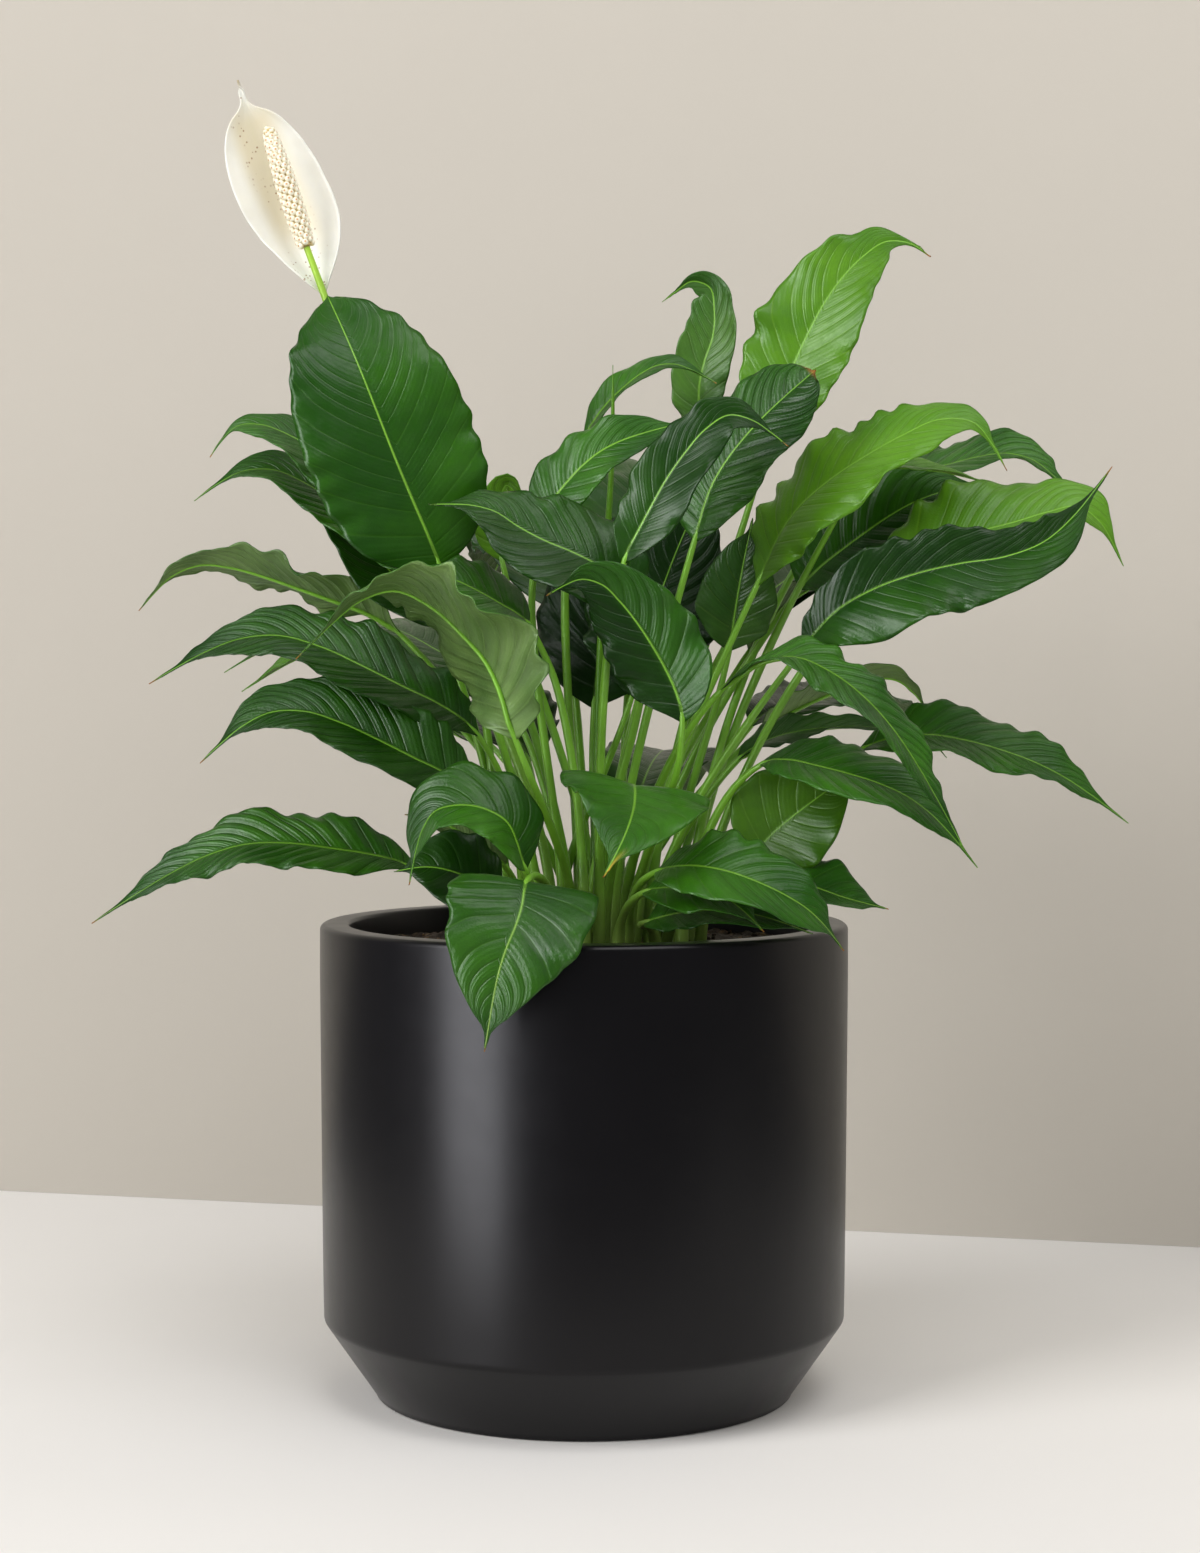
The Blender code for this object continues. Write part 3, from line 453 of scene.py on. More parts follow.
def smooth(at, stations, values):
    """Values at the places at, on a smooth curve through uneven stations."""
    stations, values = np.asarray(stations, float), np.asarray(values, float)
    slopes = np.gradient(values, stations, axis=0)
    at = np.clip(at, stations[0], stations[-1])
    low = np.clip(np.searchsorted(stations, at, side="right") - 1, 0, len(stations) - 2)
    step = stations[low + 1] - stations[low]
    share = (at - stations[low]) / step
    if values.ndim > 1:
        step, share = step[..., None], share[..., None]
    square, cube = share ** 2, share ** 3
    return ((2 * cube - 3 * square + 1) * values[low] + (cube - 2 * square + share) * step * slopes[low]
            + (3 * square - 2 * cube) * values[low + 1] + (cube - square) * step * slopes[low + 1])


def ease(value, low, high):
    share = np.clip((value - low) / (high - low), 0, 1)
    return share * share * (3 - 2 * share)


def unit(vectors):
    return vectors / np.linalg.norm(vectors, axis=-1, keepdims=True)

STALK_FOOT = SOIL_TOP + 0.0003
STALKS_WITHIN = 0.08


def merged_mesh(name):
    """Points of a CAD node with its doubles merged, and each point's neighbours."""
    mesh = frame["nodes"][name].data
    points = points_of(mesh)
    _, first, index = np.unique(np.round(points / 1e-5), axis=0, return_index=True, return_inverse=True)
    index = index.reshape(-1)
    beside = [set() for _ in first]
    for polygon in mesh.polygons:
        corners = [index[vertex] for vertex in polygon.vertices]
        for corner in corners:
            beside[corner].update(other for other in corners if other != corner)
    return points[first], beside


def ring_order(points, beside, start):
    """The rings of a lofted CAD node, from the ring start to the far end."""
    rings, seen, ring = [], set(), set(start)
    while ring:
        rings.append(points[sorted(ring)])
        seen |= ring
        ring = {other for point in ring for other in beside[point]} - seen
    return rings


def rings_of(name):
    """A leaf's or stalk's rings, from the soil to its tip."""
    points, beside = merged_mesh(name)
    level = np.abs(points[:, 2] - STALK_FOOT) < 1e-4
    close = np.hypot(points[:, 0], points[:, 1]) < STALKS_WITHIN
    return ring_order(points, beside, np.flatnonzero(level & close))


def path_of(rings):
    """Centre line of round rings, its arc length and its radii."""
    path = np.array([ring.mean(0) for ring in rings])
    radii = np.array([np.linalg.norm(ring - ring.mean(0), axis=1).mean() for ring in rings])
    return path, arc_length(path), radii


def section_of(ring):
    """Centre, upward normal and half width of a blade's ring."""
    gaps = np.linalg.norm(ring[:, None] - ring[None], axis=2)
    left, right = np.unravel_index(np.argmax(gaps), gaps.shape)
    across = unit(ring[right] - ring[left])
    others = [corner for corner in range(6) if corner not in (left, right)]
    middle = (ring[left] + ring[right]) / 2
    others.sort(key=lambda corner: abs((ring[corner] - middle) @ across))
    keel, top = ring[others[:2]].mean(0), ring[others[2:]].mean(0)
    return top, unit(top - keel), gaps[left, right] / 2


def arc_length(points):
    steps = np.linalg.norm(np.diff(points, axis=0), axis=1)
    return np.concatenate([[0], np.cumsum(steps)])


def direction(at, arc, path, reach):
    """Where a path heads at the places at, seen over reach to both sides."""
    return unit(smooth(at + reach, arc, path) - smooth(at - reach, arc, path))


class Blade:
    """A smooth sheet over a CAD blade: places on it, by share along and share across."""

    NARROWEST = 0.0002

    def __init__(self, rings, start=None):
        """The blade through six-sided rings, from the end of its stalk if there is one."""
        if any(len(ring) != 6 for ring in rings):
            raise RuntimeError(f"the CAD blade has rings of {[len(ring) for ring in rings]} points")
        self.centres, self.normals, self.halves = (
            np.array(part) for part in zip(*(section_of(ring) for ring in rings)))
        if start is not None:
            self.centres = np.vstack([start, self.centres])
            self.normals = np.vstack([self.normals[0], self.normals])
            self.halves = np.concatenate([[STALK_END_RADIUS], self.halves])
        self.arc = arc_length(self.centres)
        self.length = self.arc[-1]

    def half(self, along):
        return np.maximum(smooth(along * self.length, self.arc, self.halves), self.NARROWEST)

    def axes(self, along):
        """Centre, side and normal at each share along."""
        at = along * self.length
        forward = direction(at, self.arc, self.centres, 0.0015)
        side = unit(np.cross(forward, smooth(at, self.arc, self.normals)))
        return smooth(at, self.arc, self.centres), side, np.cross(side, forward)


def grid(rows, columns):
    """Share along, 0 to 1, and place across, -1 to 1, of a sheet's points."""
    return np.meshgrid(np.linspace(0, 1, rows + 1), np.linspace(-1, 1, columns + 1), indexing="ij")


def sheet(name, points, normals, values, materials, thickness):
    """A smooth shell over a grid of points, with its face where normals point.

    Each of values becomes a point attribute. The second of the materials goes underneath.
    """
    rows, columns = (count - 1 for count in points.shape[:2])
    piece = add(bpy.ops.mesh.primitive_grid_add, name, x_subdivisions=columns, y_subdivisions=rows, size=2)
    mesh = piece.data
    flat = points_of(mesh)
    column = np.rint((flat[:, 0] + 1) / 2 * columns).astype(int)
    row = np.rint((flat[:, 1] + 1) / 2 * rows).astype(int)
    mesh.vertices.foreach_set("co", points[row, column].reshape(-1))
    for key, value in values.items():
        layer = mesh.attributes.new(key, "FLOAT", "POINT")
        value = np.broadcast_to(value, points.shape[:2])[row, column]
        layer.data.foreach_set("value", value.astype(np.float32))
    mesh.update()
    alone(piece)
    row, column = points.shape[0] // 2, points.shape[1] // 2
    along = points[row + 1, column] - points[row - 1, column]
    across = points[row, column + 1] - points[row, column - 1]
    if np.cross(across, along) @ normals[row, column] < 0:
        bpy.ops.object.mode_set(mode="EDIT")
        bpy.ops.mesh.select_all(action="SELECT")
        bpy.ops.mesh.flip_normals()
        bpy.ops.object.mode_set(mode="OBJECT")
    paint(piece, *materials)
    shell = piece.modifiers.new("Thickness", "SOLIDIFY")
    shell.thickness, shell.offset = thickness, -1
    shell.material_offset, shell.material_offset_rim = 1, 0
    bpy.ops.object.modifier_apply(modifier=shell.name)
    bpy.ops.object.shade_smooth()
    return piece


def tube(name, path, radii, resolution, material=None):
    """A round stalk along path, of the given radii."""
    piece = add(bpy.ops.curve.primitive_nurbs_path_add, name)
    curve = piece.data
    curve.splines.clear()
    spline = curve.splines.new("POLY")
    spline.points.add(len(path) - 1)
    spline.points.foreach_set("co", np.column_stack([path, np.ones(len(path))]).reshape(-1))
    spline.points.foreach_set("radius", np.asarray(radii, float) / 0.001)
    curve.dimensions, curve.bevel_depth, curve.bevel_resolution = "3D", 0.001, resolution
    curve.use_fill_caps = True
    bpy.ops.object.convert(target="MESH")
    piece = bpy.context.object
    piece.data.name = name
    bpy.ops.object.shade_smooth()
    if material:
        paint(piece, material)
    return piece


def pattern(operator, **settings):
    """Points and faces of a primitive to be copied."""
    piece = add(operator, "pattern", **settings)
    points = points_of(piece.data)
    faces = [tuple(polygon.vertices) for polygon in piece.data.polygons]
    bpy.data.objects.remove(piece)
    return points, faces


def many(name, copies, faces):
    """One object of many copies of a pattern, each a set of its points."""
    size = len(copies[0])
    polygons = [tuple(index * size + corner for corner in face)
                for index in range(len(copies)) for face in faces]
    mesh = bpy.data.meshes.new(name)
    mesh.from_pydata(np.vstack(copies).tolist(), [], polygons)
    piece = bpy.data.objects.new(name, mesh)
    bpy.context.collection.objects.link(piece)
    return piece


def join(pieces):
    alone(pieces[0])
    for piece in pieces[1:]:
        piece.select_set(True)
    bpy.ops.object.join()
    return pieces[0]


def finish_piece(piece, node):
    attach(piece, "root")
    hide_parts(node)


# ---------------------------------------------------------------- leaves


STALK_RADIUS = 0.0022
FOOT_SWELL = 0.0012
TOP_TAPER = 0.0006
RIB_RADIUS = 0.00145
RIB_TAPER = 0.0011
STALK_END_RADIUS = 0.0014
BLADE_RINGS = 11
ROW_LENGTH = 0.0013
BLADE_COLUMNS = 28
WIDE_HALF = 0.026
PLEATED_HALF = 0.02
BROAD_WAVE = (0.042, 0.062)
SHORT_WAVE = (0.013, 0.018)
SWELL_WAVE = 0.07
VEIN_WANDER = 0.041
GROOVE_DEPTH = 0.0005
GROOVE_WIDTH = 0.0016
DRY_REACH = 0.022


def waves(chance, length, span):
    """A wandering wave along a margin: two sines of nearby lengths."""
    first, second = length * chance.uniform(0.85, 1.1), length * chance.uniform(1.25, 1.6)
    start, other = chance.uniform(0, math.tau), chance.uniform(0, math.tau)
    return 0.62 * np.sin(span / first * math.tau + start) + 0.38 * np.sin(span / second * math.tau + other)


def on_each_half(chance, lengths, reach, column):
    """A wave for each half of a blade, of a length drawn between lengths."""
    left, right = (waves(chance, chance.uniform(*lengths), reach) for _ in range(2))
    return np.where(column < 0, left, right)


def shape_blade(blade, character, chance, settings):
    """Points and normals of a pleated, ruffled blade, and its attributes."""
    row, column = grid(max(40, int(blade.length / ROW_LENGTH)), BLADE_COLUMNS)
    edge = np.abs(column)
    sweep = min(1.15, 6.2 * blade.halves.max() / blade.length)
    place = row + sweep * (0.7 * edge + 0.3 * edge ** 2) * row * (1 - row)
    centre, side, normal = blade.axes(place)
    half = blade.half(place) * np.interp(column, (-0.05, 0.05), character["wide"])
    half *= (1 - character["tail"] * ease(place, 0.79, 0.93)) * (1 - 0.8 * ease(place, 0.95, 1.0))
    span = row * blade.length
    reach = place * blade.length
    rise = np.where(column < 0, *character["fold"]) * half * edge ** 1.3
    rise -= chance.uniform(0.02, 0.12) * half * edge ** 4
    ruffle = character["ruffle"]
    rise += on_each_half(chance, BROAD_WAVE, reach, column) * 0.12 * ruffle * half * edge ** 2.2
    short = on_each_half(chance, SHORT_WAVE, reach, column) * ruffle * np.clip(half / WIDE_HALF, 0, 1.3)
    short *= 0.6 + 0.4 * np.sin(reach / SWELL_WAVE * math.tau + chance.uniform(0, math.tau))
    rise += short * settings.ruffle_height * edge ** 4.5
    phase = span / (settings.vein_spacing * chance.uniform(0.92, 1.08)) + np.where(column > 0, 0.5, 0.0)
    phase += 0.2 * np.sin(span / VEIN_WANDER * math.tau + chance.uniform(0, math.tau))
    bulge = np.abs(np.sin(math.pi * phase)) ** 0.8 - 0.55
    bulge *= ease(edge, 0.03, 0.28) * (1 - 0.35 * ease(edge, 0.75, 1))
    bulge *= ease(row, 0, 0.1) * (1 - ease(row, 0.82, 1))
    rise += bulge * settings.pleat_height * character["pleat"] * np.clip(half / PLEATED_HALF, 0, 1.3)
    width = column * (half + short * 0.0012 * edge ** 3)
    rise -= GROOVE_DEPTH * np.exp(-(width / GROOVE_WIDTH) ** 2) * ease(row, 0.02, 0.1)
    points = centre + side * width[..., None] + normal * rise[..., None]
    dried = DRY_REACH * character["dry"]
    values = {
        "along": row,
        "vein": phase,
        "from_midrib": np.abs(width),
        "dry": ease(place, 1 - dried - 0.02, 1 - dried * 0.25) if dried > 0 else 0.0,
        "yellow": character["yellow"] * ease(row - 0.2 * column, 0.78, 1.05) * ease(edge, 0.0, 0.5),
        # Painted light and shade for each half, on top of the leaf's own tone.
        "tint": np.interp(column, (-0.12, 0.12), character["tint"]),
        "pleated": min(1.0, 0.1 + 0.5 * character["pleat"]),
    }
    return points, normal, values


def grow_leaf(name, materials, settings):
    chance = random.Random(name)
    character = {
        "pleat": chance.uniform(0.8, 1.6),
        "dry": chance.choice((0, 0, 0.3, 0.5)),
        "tint": (chance.uniform(-0.3, 0.2), chance.uniform(-0.3, 0.2)),
        "ruffle": chance.uniform(0.9, 1.5),
        "fold": (chance.uniform(0.08, 0.32), chance.uniform(0.08, 0.32)),
        "yellow": 0,
        "tail": 0.62,
        "wide": (1, 1),
    }
    character.update(CHARACTER.get(name.removeprefix("leaf_"), {}))
    rings = rings_of(name)
    if len(rings) not in (16, 17):
        raise RuntimeError(f"{name}: the CAD leaf has {len(rings)} rings")
    stem_count = len(rings) - BLADE_RINGS
    stem = np.array([ring.mean(0) for ring in rings[:stem_count + 1]])
    blade = Blade(rings[stem_count + 1:], stem[-1])
    piece_name = name.replace("leaf_", "") + "_leaf"
    tone = frame_tone(name)
    piece = sheet(piece_name, *shape_blade(blade, character, chance, settings),
                  (materials[tone, "upper"], materials[tone, "under"]), settings.thickness)
    piece = join([piece, stalk_under(blade, stem, piece_name, materials["stalk"])])
    finish_piece(piece, name)
    return piece


def stalk_under(blade, stem, name, material):
    """The leaf stalk from the soil, running on as the raised midrib under the blade."""
    arc = arc_length(stem)
    steps = np.linspace(0, arc[-1], max(12, int(arc[-1] / 0.006)))
    path = smooth(steps, arc, stem)
    share = steps / arc[-1]
    radii = STALK_RADIUS + FOOT_SWELL * (1 - ease(share, 0.0, 0.4)) - TOP_TAPER * ease(share, 0.6, 1.0)
    path[0, 2] = SOIL_TOP - 0.001
    along = np.linspace(0.015, 0.97, 40)
    centre, _, normal = blade.axes(along)
    rib = RIB_RADIUS - RIB_TAPER * along ** 0.8
    under = centre - normal * ((rib * 0.95 + 0.0004) * ease(along, 0.0, 0.06))[:, None]
    path, radii = np.vstack([path[:-1], under]), np.concatenate([radii[:-1], rib])
    return tube(name + "_stalk", path, radii, 2, material)


def frame_tone(name):
    """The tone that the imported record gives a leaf."""
    for part in frame["record"]["subparts"]:
        if part["node"] == name:
            return part["material_slot"].replace("leaf_", "")
    raise RuntimeError(f"the record has no sub-part {name}")


class PEACELILY_OT_leaves(bpy.types.Operator):
    """Grow every leaf with its stalk over its place in the frame"""

    bl_idname = "peace_lily.leaves"
    bl_label = "Leaves"

    def execute(self, context):
        settings = context.scene.peace_lily.leaves
        materials = {}
        for tone, (dark, light, under_dark, under_light) in TONES.items():
            materials[tone, "upper"] = upper_side(f"leaf_{tone}_upper", dark, light, settings)
            materials[tone, "under"] = underside(f"leaf_{tone}_underside", under_dark, under_light, settings)
        base = tuple(settings.stalk_colour)
        materials["stalk"] = stalk_material("leaf_stalk", base, colour(122, 140, 72), base)
        for name in sorted(frame["nodes"]):
            if name.startswith("leaf_") and name != "leaf_rolled":
                grow_leaf(name, materials, settings)
        return {"FINISHED"}


# ---------------------------------------------------------------- flower and spear


# Share along the bract and its half width as a share of the widest.
BRACT_OUTLINE = ((0, 0.06), (0.05, 0.26), (0.1, 0.43), (0.2, 0.70), (0.3, 0.88), (0.4, 0.97), (0.5, 1.0),
                 (0.6, 0.97), (0.7, 0.86), (0.77, 0.72), (0.82, 0.56), (0.85, 0.40), (0.875, 0.20),
                 (0.90, 0.085), (0.95, 0.04), (1, 0.01))

BRACT_HALF = 0.0245
BRACT_THICKNESS = 0.0008
FLOWER_STALK_TONES = (colour(120, 168, 56), colour(150, 172, 104), colour(170, 210, 66))
SPEAR_THICKNESS = 0.0003
SPEAR_VEIN_SPACING = 0.006


def shape_bract(blade):
    """Points and normals of the cupped bract, and its attributes."""
    row, column = grid(96, 36)
    edge = np.abs(column)
    centre, side, normal = blade.axes(row)
    stations, shares = np.array(BRACT_OUTLINE).T
    half = BRACT_HALF * smooth(row.ravel(), stations, shares[:, None]).reshape(row.shape)
    shoulder = ease(row, 0.02, 0.12) * (1 - ease(row, 0.15, 0.5))
    half = half * (1 + np.where(column > 0, 0.14, -0.05) * shoulder)
    span = row * blade.length
    rise = 0.42 * half * edge ** 1.7
    rise += 0.03 * half * edge ** 3 * np.sin(span / 0.06 * math.tau + np.where(column < 0, 0.4, 2.6))
    rise += 0.00012 * np.cos(column * 11) * ease(row, 0.05, 0.3) * (1 - ease(row, 0.8, 1))
    rise += 0.00025 * edge ** 4 * np.sin(span / 0.017 * math.tau + 2 * column)
    width = column * half * (1 - 0.05 * edge ** 2)
    points = centre + side * width[..., None] + normal * rise[..., None]
    return points, normal, {"along": row, "across": column, "from_midrib": np.abs(width)}


def bract_material(settings):
    """Cream white, with painted shade in the cupped middle, green at the foot, with brown specks of pollen.
    """
    nodes = Skin("spathe_cream")
    spread, times = nodes.spread, nodes.times
    along, across = nodes.attribute("along"), nodes.attribute("across")
    rib = nodes.attribute("from_midrib")
    broad, fine = nodes.mottle(35.0)
    base = tuple(settings.bract_colour)
    lines = nodes.reckon("PINGPONG", times(across, 5.0), 0.5)
    veins = spread(lines, 0.0, 0.09, 0.3, 0.0)
    foot = spread(along, 0.0, 0.2, 1.0, 0.0)
    # Painted shade in the cupped middle, beside the midrib, halfway up the bract.
    cup_shade = times(spread(rib, 0.006, 0.017, 0.8, 0.0),
                 times(spread(along, 0.15, 0.4), spread(along, 0.8, 0.95, 1.0, 0.0)))
    centre = times(spread(rib, 0.0004, 0.0028, 1.0, 0.0), nodes.reckon("MULTIPLY_ADD", foot, 0.3, 0.02))
    dust = nodes.put("TexVoronoi", {"Vector": nodes.position, "Scale": 380.0}).outputs["Distance"]
    where = times(spread(nodes.grain(nodes.position, 60.0, 2.0), 0.44, 0.54),
                  spread(rib, 0.007, 0.013, 1.0, 0.0))
    body = nodes.blend(broad, scaled(base, 0.93), base)
    for mask, tone in (
        (cup_shade, colour(214, 203, 172)),
        (times(veins, times(foot, 0.3)), colour(150, 180, 96)),
        (centre, colour(160, 186, 92)),
        (spread(along, 0.0, 0.04, 0.4, 0.0), colour(200, 216, 150)),
        (spread(along, 0.95, 1.0, 0.0, 0.8), colour(150, 128, 74)),
        (times(times(spread(dust, 0.16, 0.24, 1.0, 0.0), where), 0.75), colour(140, 96, 48)),
    ):
        body = nodes.blend(mask, body, tone)
    return nodes.finish(body, spread(fine, 0, 1, 0.48, 0.6), (lines, 0.12, 0.0004), {
        "Subsurface Weight": 0.15,
        "Subsurface Radius": (1.0, 0.9, 0.6),
        "Subsurface Scale": 0.002,
    })


def spike_material(settings):
    """Cream knobs with painted shade in the crevices between them and a brown dot on each."""
    nodes = Skin("spadix_cream")
    base = tuple(settings.spike_colour)
    broad, fine = nodes.mottle(120.0)
    crown = nodes.attribute("crown")
    body = nodes.blend(broad, scaled(base, 0.93), base)
    # Painted shade on each knob's inner side, in the crevices between the knobs.
    body = nodes.blend(nodes.spread(crown, 0.35, 0.8, 0.9, 0.0), body, colour(204, 178, 112))
    body = nodes.blend(nodes.spread(crown, 0.93, 0.985, 0.0, 0.9), body, colour(190, 124, 50))
    return nodes.finish(body, nodes.spread(fine, 0, 1, 0.5, 0.65), (fine, 0.3, 0.0003))


def spike_axis():
    """Foot, top and radius of the flower spike in the frame."""
    points, _ = merged_mesh("spadix")
    middle = points.mean(0)
    axis = np.linalg.svd(points - middle)[2][0]
    axis = axis if axis @ UP > 0 else -axis
    reach = (points - middle) @ axis
    away = np.linalg.norm(points - middle - reach[:, None] * axis, axis=1)
    return middle + axis * reach.min(), middle + axis * reach.max(), away.max()


def spike_outline(share, radius):
    """Radius of the spike's core along its length."""
    round_top = np.sqrt(np.clip(1 - ((share - 0.92) / 0.08) ** 2, 0, 1))
    taper = (0.78 + 0.22 * ease(share, 0.0, 0.25)) * (1 - 0.38 * ease(share, 0.5, 1.0))
    return radius * taper * np.where(share > 0.92, round_top, 1)


GOLDEN_ANGLE = math.pi * (3 - math.sqrt(5))
CORE_SHARE = 0.76
KNOBS_SHARE = 0.82


def grow_spike(settings):
    foot, top, radius = spike_axis()
    length = np.linalg.norm(top - foot)
    axis = (top - foot) / length
    first = unit(np.cross(axis, UP))
    second = np.cross(axis, first)
    steps = np.linspace(0, 1, 40)
    core_radii = spike_outline(steps, radius * CORE_SHARE)
    core_radii[-1] = radius * 0.1
    core = tube("spike_core", foot + axis * (steps * length * 0.985)[:, None], core_radii, 6)
    shape, faces = pattern(bpy.ops.mesh.primitive_uv_sphere_add, segments=8, ring_count=6, radius=1)
    count = int(0.9 * length * math.tau * radius / settings.knob_size ** 2)
    copies = []
    for index in range(count):
        share = (index + 0.5) / count
        angle = index * GOLDEN_ANGLE
        outward = first * math.cos(angle) + second * math.sin(angle)
        lift = ease(share, 0.9, 1.0)
        facing = unit(outward * (1 - lift) + axis * (lift + 0.08))
        centre = foot + axis * (share * length * 0.97) + outward * spike_outline(share, radius * KNOBS_SHARE)
        tangent = unit(np.cross(facing, axis + outward * 0.01))
        other = np.cross(facing, tangent)
        size = settings.knob_size * 0.56 * (1 - 0.25 * lift)
        copies.append(centre + size * (shape @ np.array((tangent, other, facing))))
    knobs = many("spike_knobs", copies, faces)
    layer = knobs.data.attributes.new("crown", "FLOAT", "POINT")
    layer.data.foreach_set("value", np.tile((shape[:, 2] + 1) / 2, count).astype(np.float32))
    alone(knobs)
    bpy.ops.object.shade_smooth()
    piece = join([knobs, core])
    piece.name = "flower_spike"
    paint(piece, spike_material(settings))
    finish_piece(piece, "spadix")


class PEACELILY_OT_flower(bpy.types.Operator):
    """Grow the flower's stalk, its white bract and its knobbed spike"""

    bl_idname = "peace_lily.flower"
    bl_label = "Flower"

    def execute(self, context):
        settings = context.scene.peace_lily.flower
        path, arc, radii = path_of(rings_of("flower_stalk"))
        steps = np.linspace(0, arc[-1], 90)
        green = stalk_material("stalk_green", *FLOWER_STALK_TONES)
        stalk = tube("flower_stem", smooth(steps, arc, path), smooth(steps, arc, radii), 4, green)
        finish_piece(stalk, "flower_stalk")
        points, beside = merged_mesh("spathe")
        low = points[np.argmin(points[:, 2])]
        start = np.argsort(np.linalg.norm(points - low, axis=1))[:6]
        blade = Blade(ring_order(points, beside, start))
        cream = bract_material(settings)
        bract = sheet("flower_bract", *shape_bract(blade), (cream, cream), BRACT_THICKNESS)
        finish_piece(bract, "spathe")
        grow_spike(settings)
        return {"FINISHED"}


class PEACELILY_OT_spear(bpy.types.Operator):
    """Grow the youngest leaf, still rolled up"""

    bl_idname = "peace_lily.spear"
    bl_label = "Rolled Leaf"

    def execute(self, context):
        path, arc, radii = path_of(rings_of("leaf_rolled"))
        row, column = grid(120, 30)
        span = row * arc[-1]
        centre = smooth(span, arc, path)
        forward = direction(span, arc, path, 0.002)
        side = unit(np.cross(forward, np.array((0.0, -1.0, 0.0))))
        front = np.cross(side, forward)
        turn = column * math.pi * 1.35 + row * 2.2
        outward = side * np.cos(turn)[..., None] + front * np.sin(turn)[..., None]
        reach = smooth(span, arc, radii) * (1 - 0.8 * ease(row, 0.94, 1.0)) * (0.86 + 0.16 * column)
        points = centre + outward * reach[..., None]
        values = {"along": row, "vein": span / SPEAR_VEIN_SPACING + column, "from_midrib": 1.0,
                  "dry": 0.0, "yellow": 0.0, "tint": 0.4, "pleated": 0.3}
        dark, light, _, _ = TONES["bright"]
        skin = upper_side("leaf_fresh_green", dark, light, context.scene.peace_lily.leaves)
        piece = sheet("rolled_leaf", points, outward, values, (skin, skin), SPEAR_THICKNESS)
        finish_piece(piece, "leaf_rolled")
        return {"FINISHED"}


# ---------------------------------------------------------------- planter and soil


FOOT_RADIUS = 0.1075
CREASE_HEIGHT = 0.039
BELLY_HEIGHT = 0.215
BELLY_SWELL = 0.0021
FOOT_ROUNDING = 0.002
INNER_ROUNDING = 0.002


def rounded(radius, height, rounding, degrees):
    """Points round a corner whose centre is at radius and height."""
    angles = np.radians(degrees)
    return list(zip(radius + rounding * np.cos(angles), height + rounding * np.sin(angles)))


def turned_profile(settings):
    """Radius and height down the outside, from the planter's foot, over the rim to its inner floor."""
    radius, top = PLANTER_HIGH.x, PLANTER_HIGH.z
    foot, crease = FOOT_RADIUS, CREASE_HEIGHT
    profile = [(foot - 0.002, 0.0), (foot - 0.0006, 0.0006), (foot, FOOT_ROUNDING)]
    for share in (0.04, 0.25, 0.5, 0.75, 0.93):
        profile.append((foot + (radius - 0.0045 - foot) * share, FOOT_ROUNDING + (crease - 0.0054) * share))
    narrow = radius - BELLY_SWELL
    profile += [(narrow - 0.0024, crease - 0.0034), (narrow - 0.0010, crease - 0.0014),
                (narrow - 0.0003, crease - 0.0003), (narrow, crease + 0.0010), (narrow, crease + 0.0026)]
    for height in np.linspace(crease + 0.012, BELLY_HEIGHT, 9):
        share = (height - crease) / (BELLY_HEIGHT - crease)
        profile.append((narrow + BELLY_SWELL * share ** 0.8, height))
    rim, inner = settings.rim_rounding, radius - settings.wall
    profile += rounded(radius - rim, top - rim, rim, (0, 15, 30, 45, 60, 75, 90))
    profile += rounded(inner + INNER_ROUNDING, top - INNER_ROUNDING, INNER_ROUNDING, (90, 113, 135, 158, 180))
    profile += [(inner, 0.20), (inner, 0.08), (foot - 0.016, 0.016)]
    return profile


def turn_on_wheel(name, profile, sides):
    """A turned solid: a disc extruded and scaled from one height of the profile to the next."""
    radius, height = profile[0]
    piece = add(bpy.ops.mesh.primitive_circle_add, name, vertices=sides, radius=radius, fill_type="NGON",
                location=(0, 0, height))
    bpy.ops.object.transform_apply(location=True, rotation=True, scale=True)
    bpy.ops.object.mode_set(mode="EDIT")
    bpy.ops.mesh.select_all(action="SELECT")
    for new_radius, new_height in profile[1:]:
        bpy.ops.mesh.extrude_region_move(TRANSFORM_OT_translate={"value": (0, 0, new_height - height)})
        share = new_radius / radius
        bpy.ops.transform.resize(value=(share, share, 1), center_override=(0, 0, new_height))
        radius, height = new_radius, new_height
    bpy.ops.mesh.select_all(action="SELECT")
    bpy.ops.mesh.remove_doubles(threshold=1e-6)
    bpy.ops.mesh.normals_make_consistent(inside=False)
    bpy.ops.object.mode_set(mode="OBJECT")
    return piece


def planter_material(settings):
    """Satin black with a little dust."""
    nodes = Skin("planter_black")
    broad, fine = nodes.mottle(9.0)
    base = tuple(settings.colour)
    body = nodes.blend(broad, scaled(base, 0.9), scaled(base, 1.1))
    dust = nodes.grain(nodes.position, 700.0, 2.0)
    body = nodes.blend(nodes.spread(dust, 0.68, 0.8, 0.0, 0.25), body, colour(40, 38, 37))
    relief = nodes.grain(nodes.position, 260.0, 3.0)
    return nodes.finish(body, nodes.spread(fine, 0, 1, 0.29, 0.31), (relief, 0.04, 0.0003),
                        {"Specular IOR Level": 0.27})


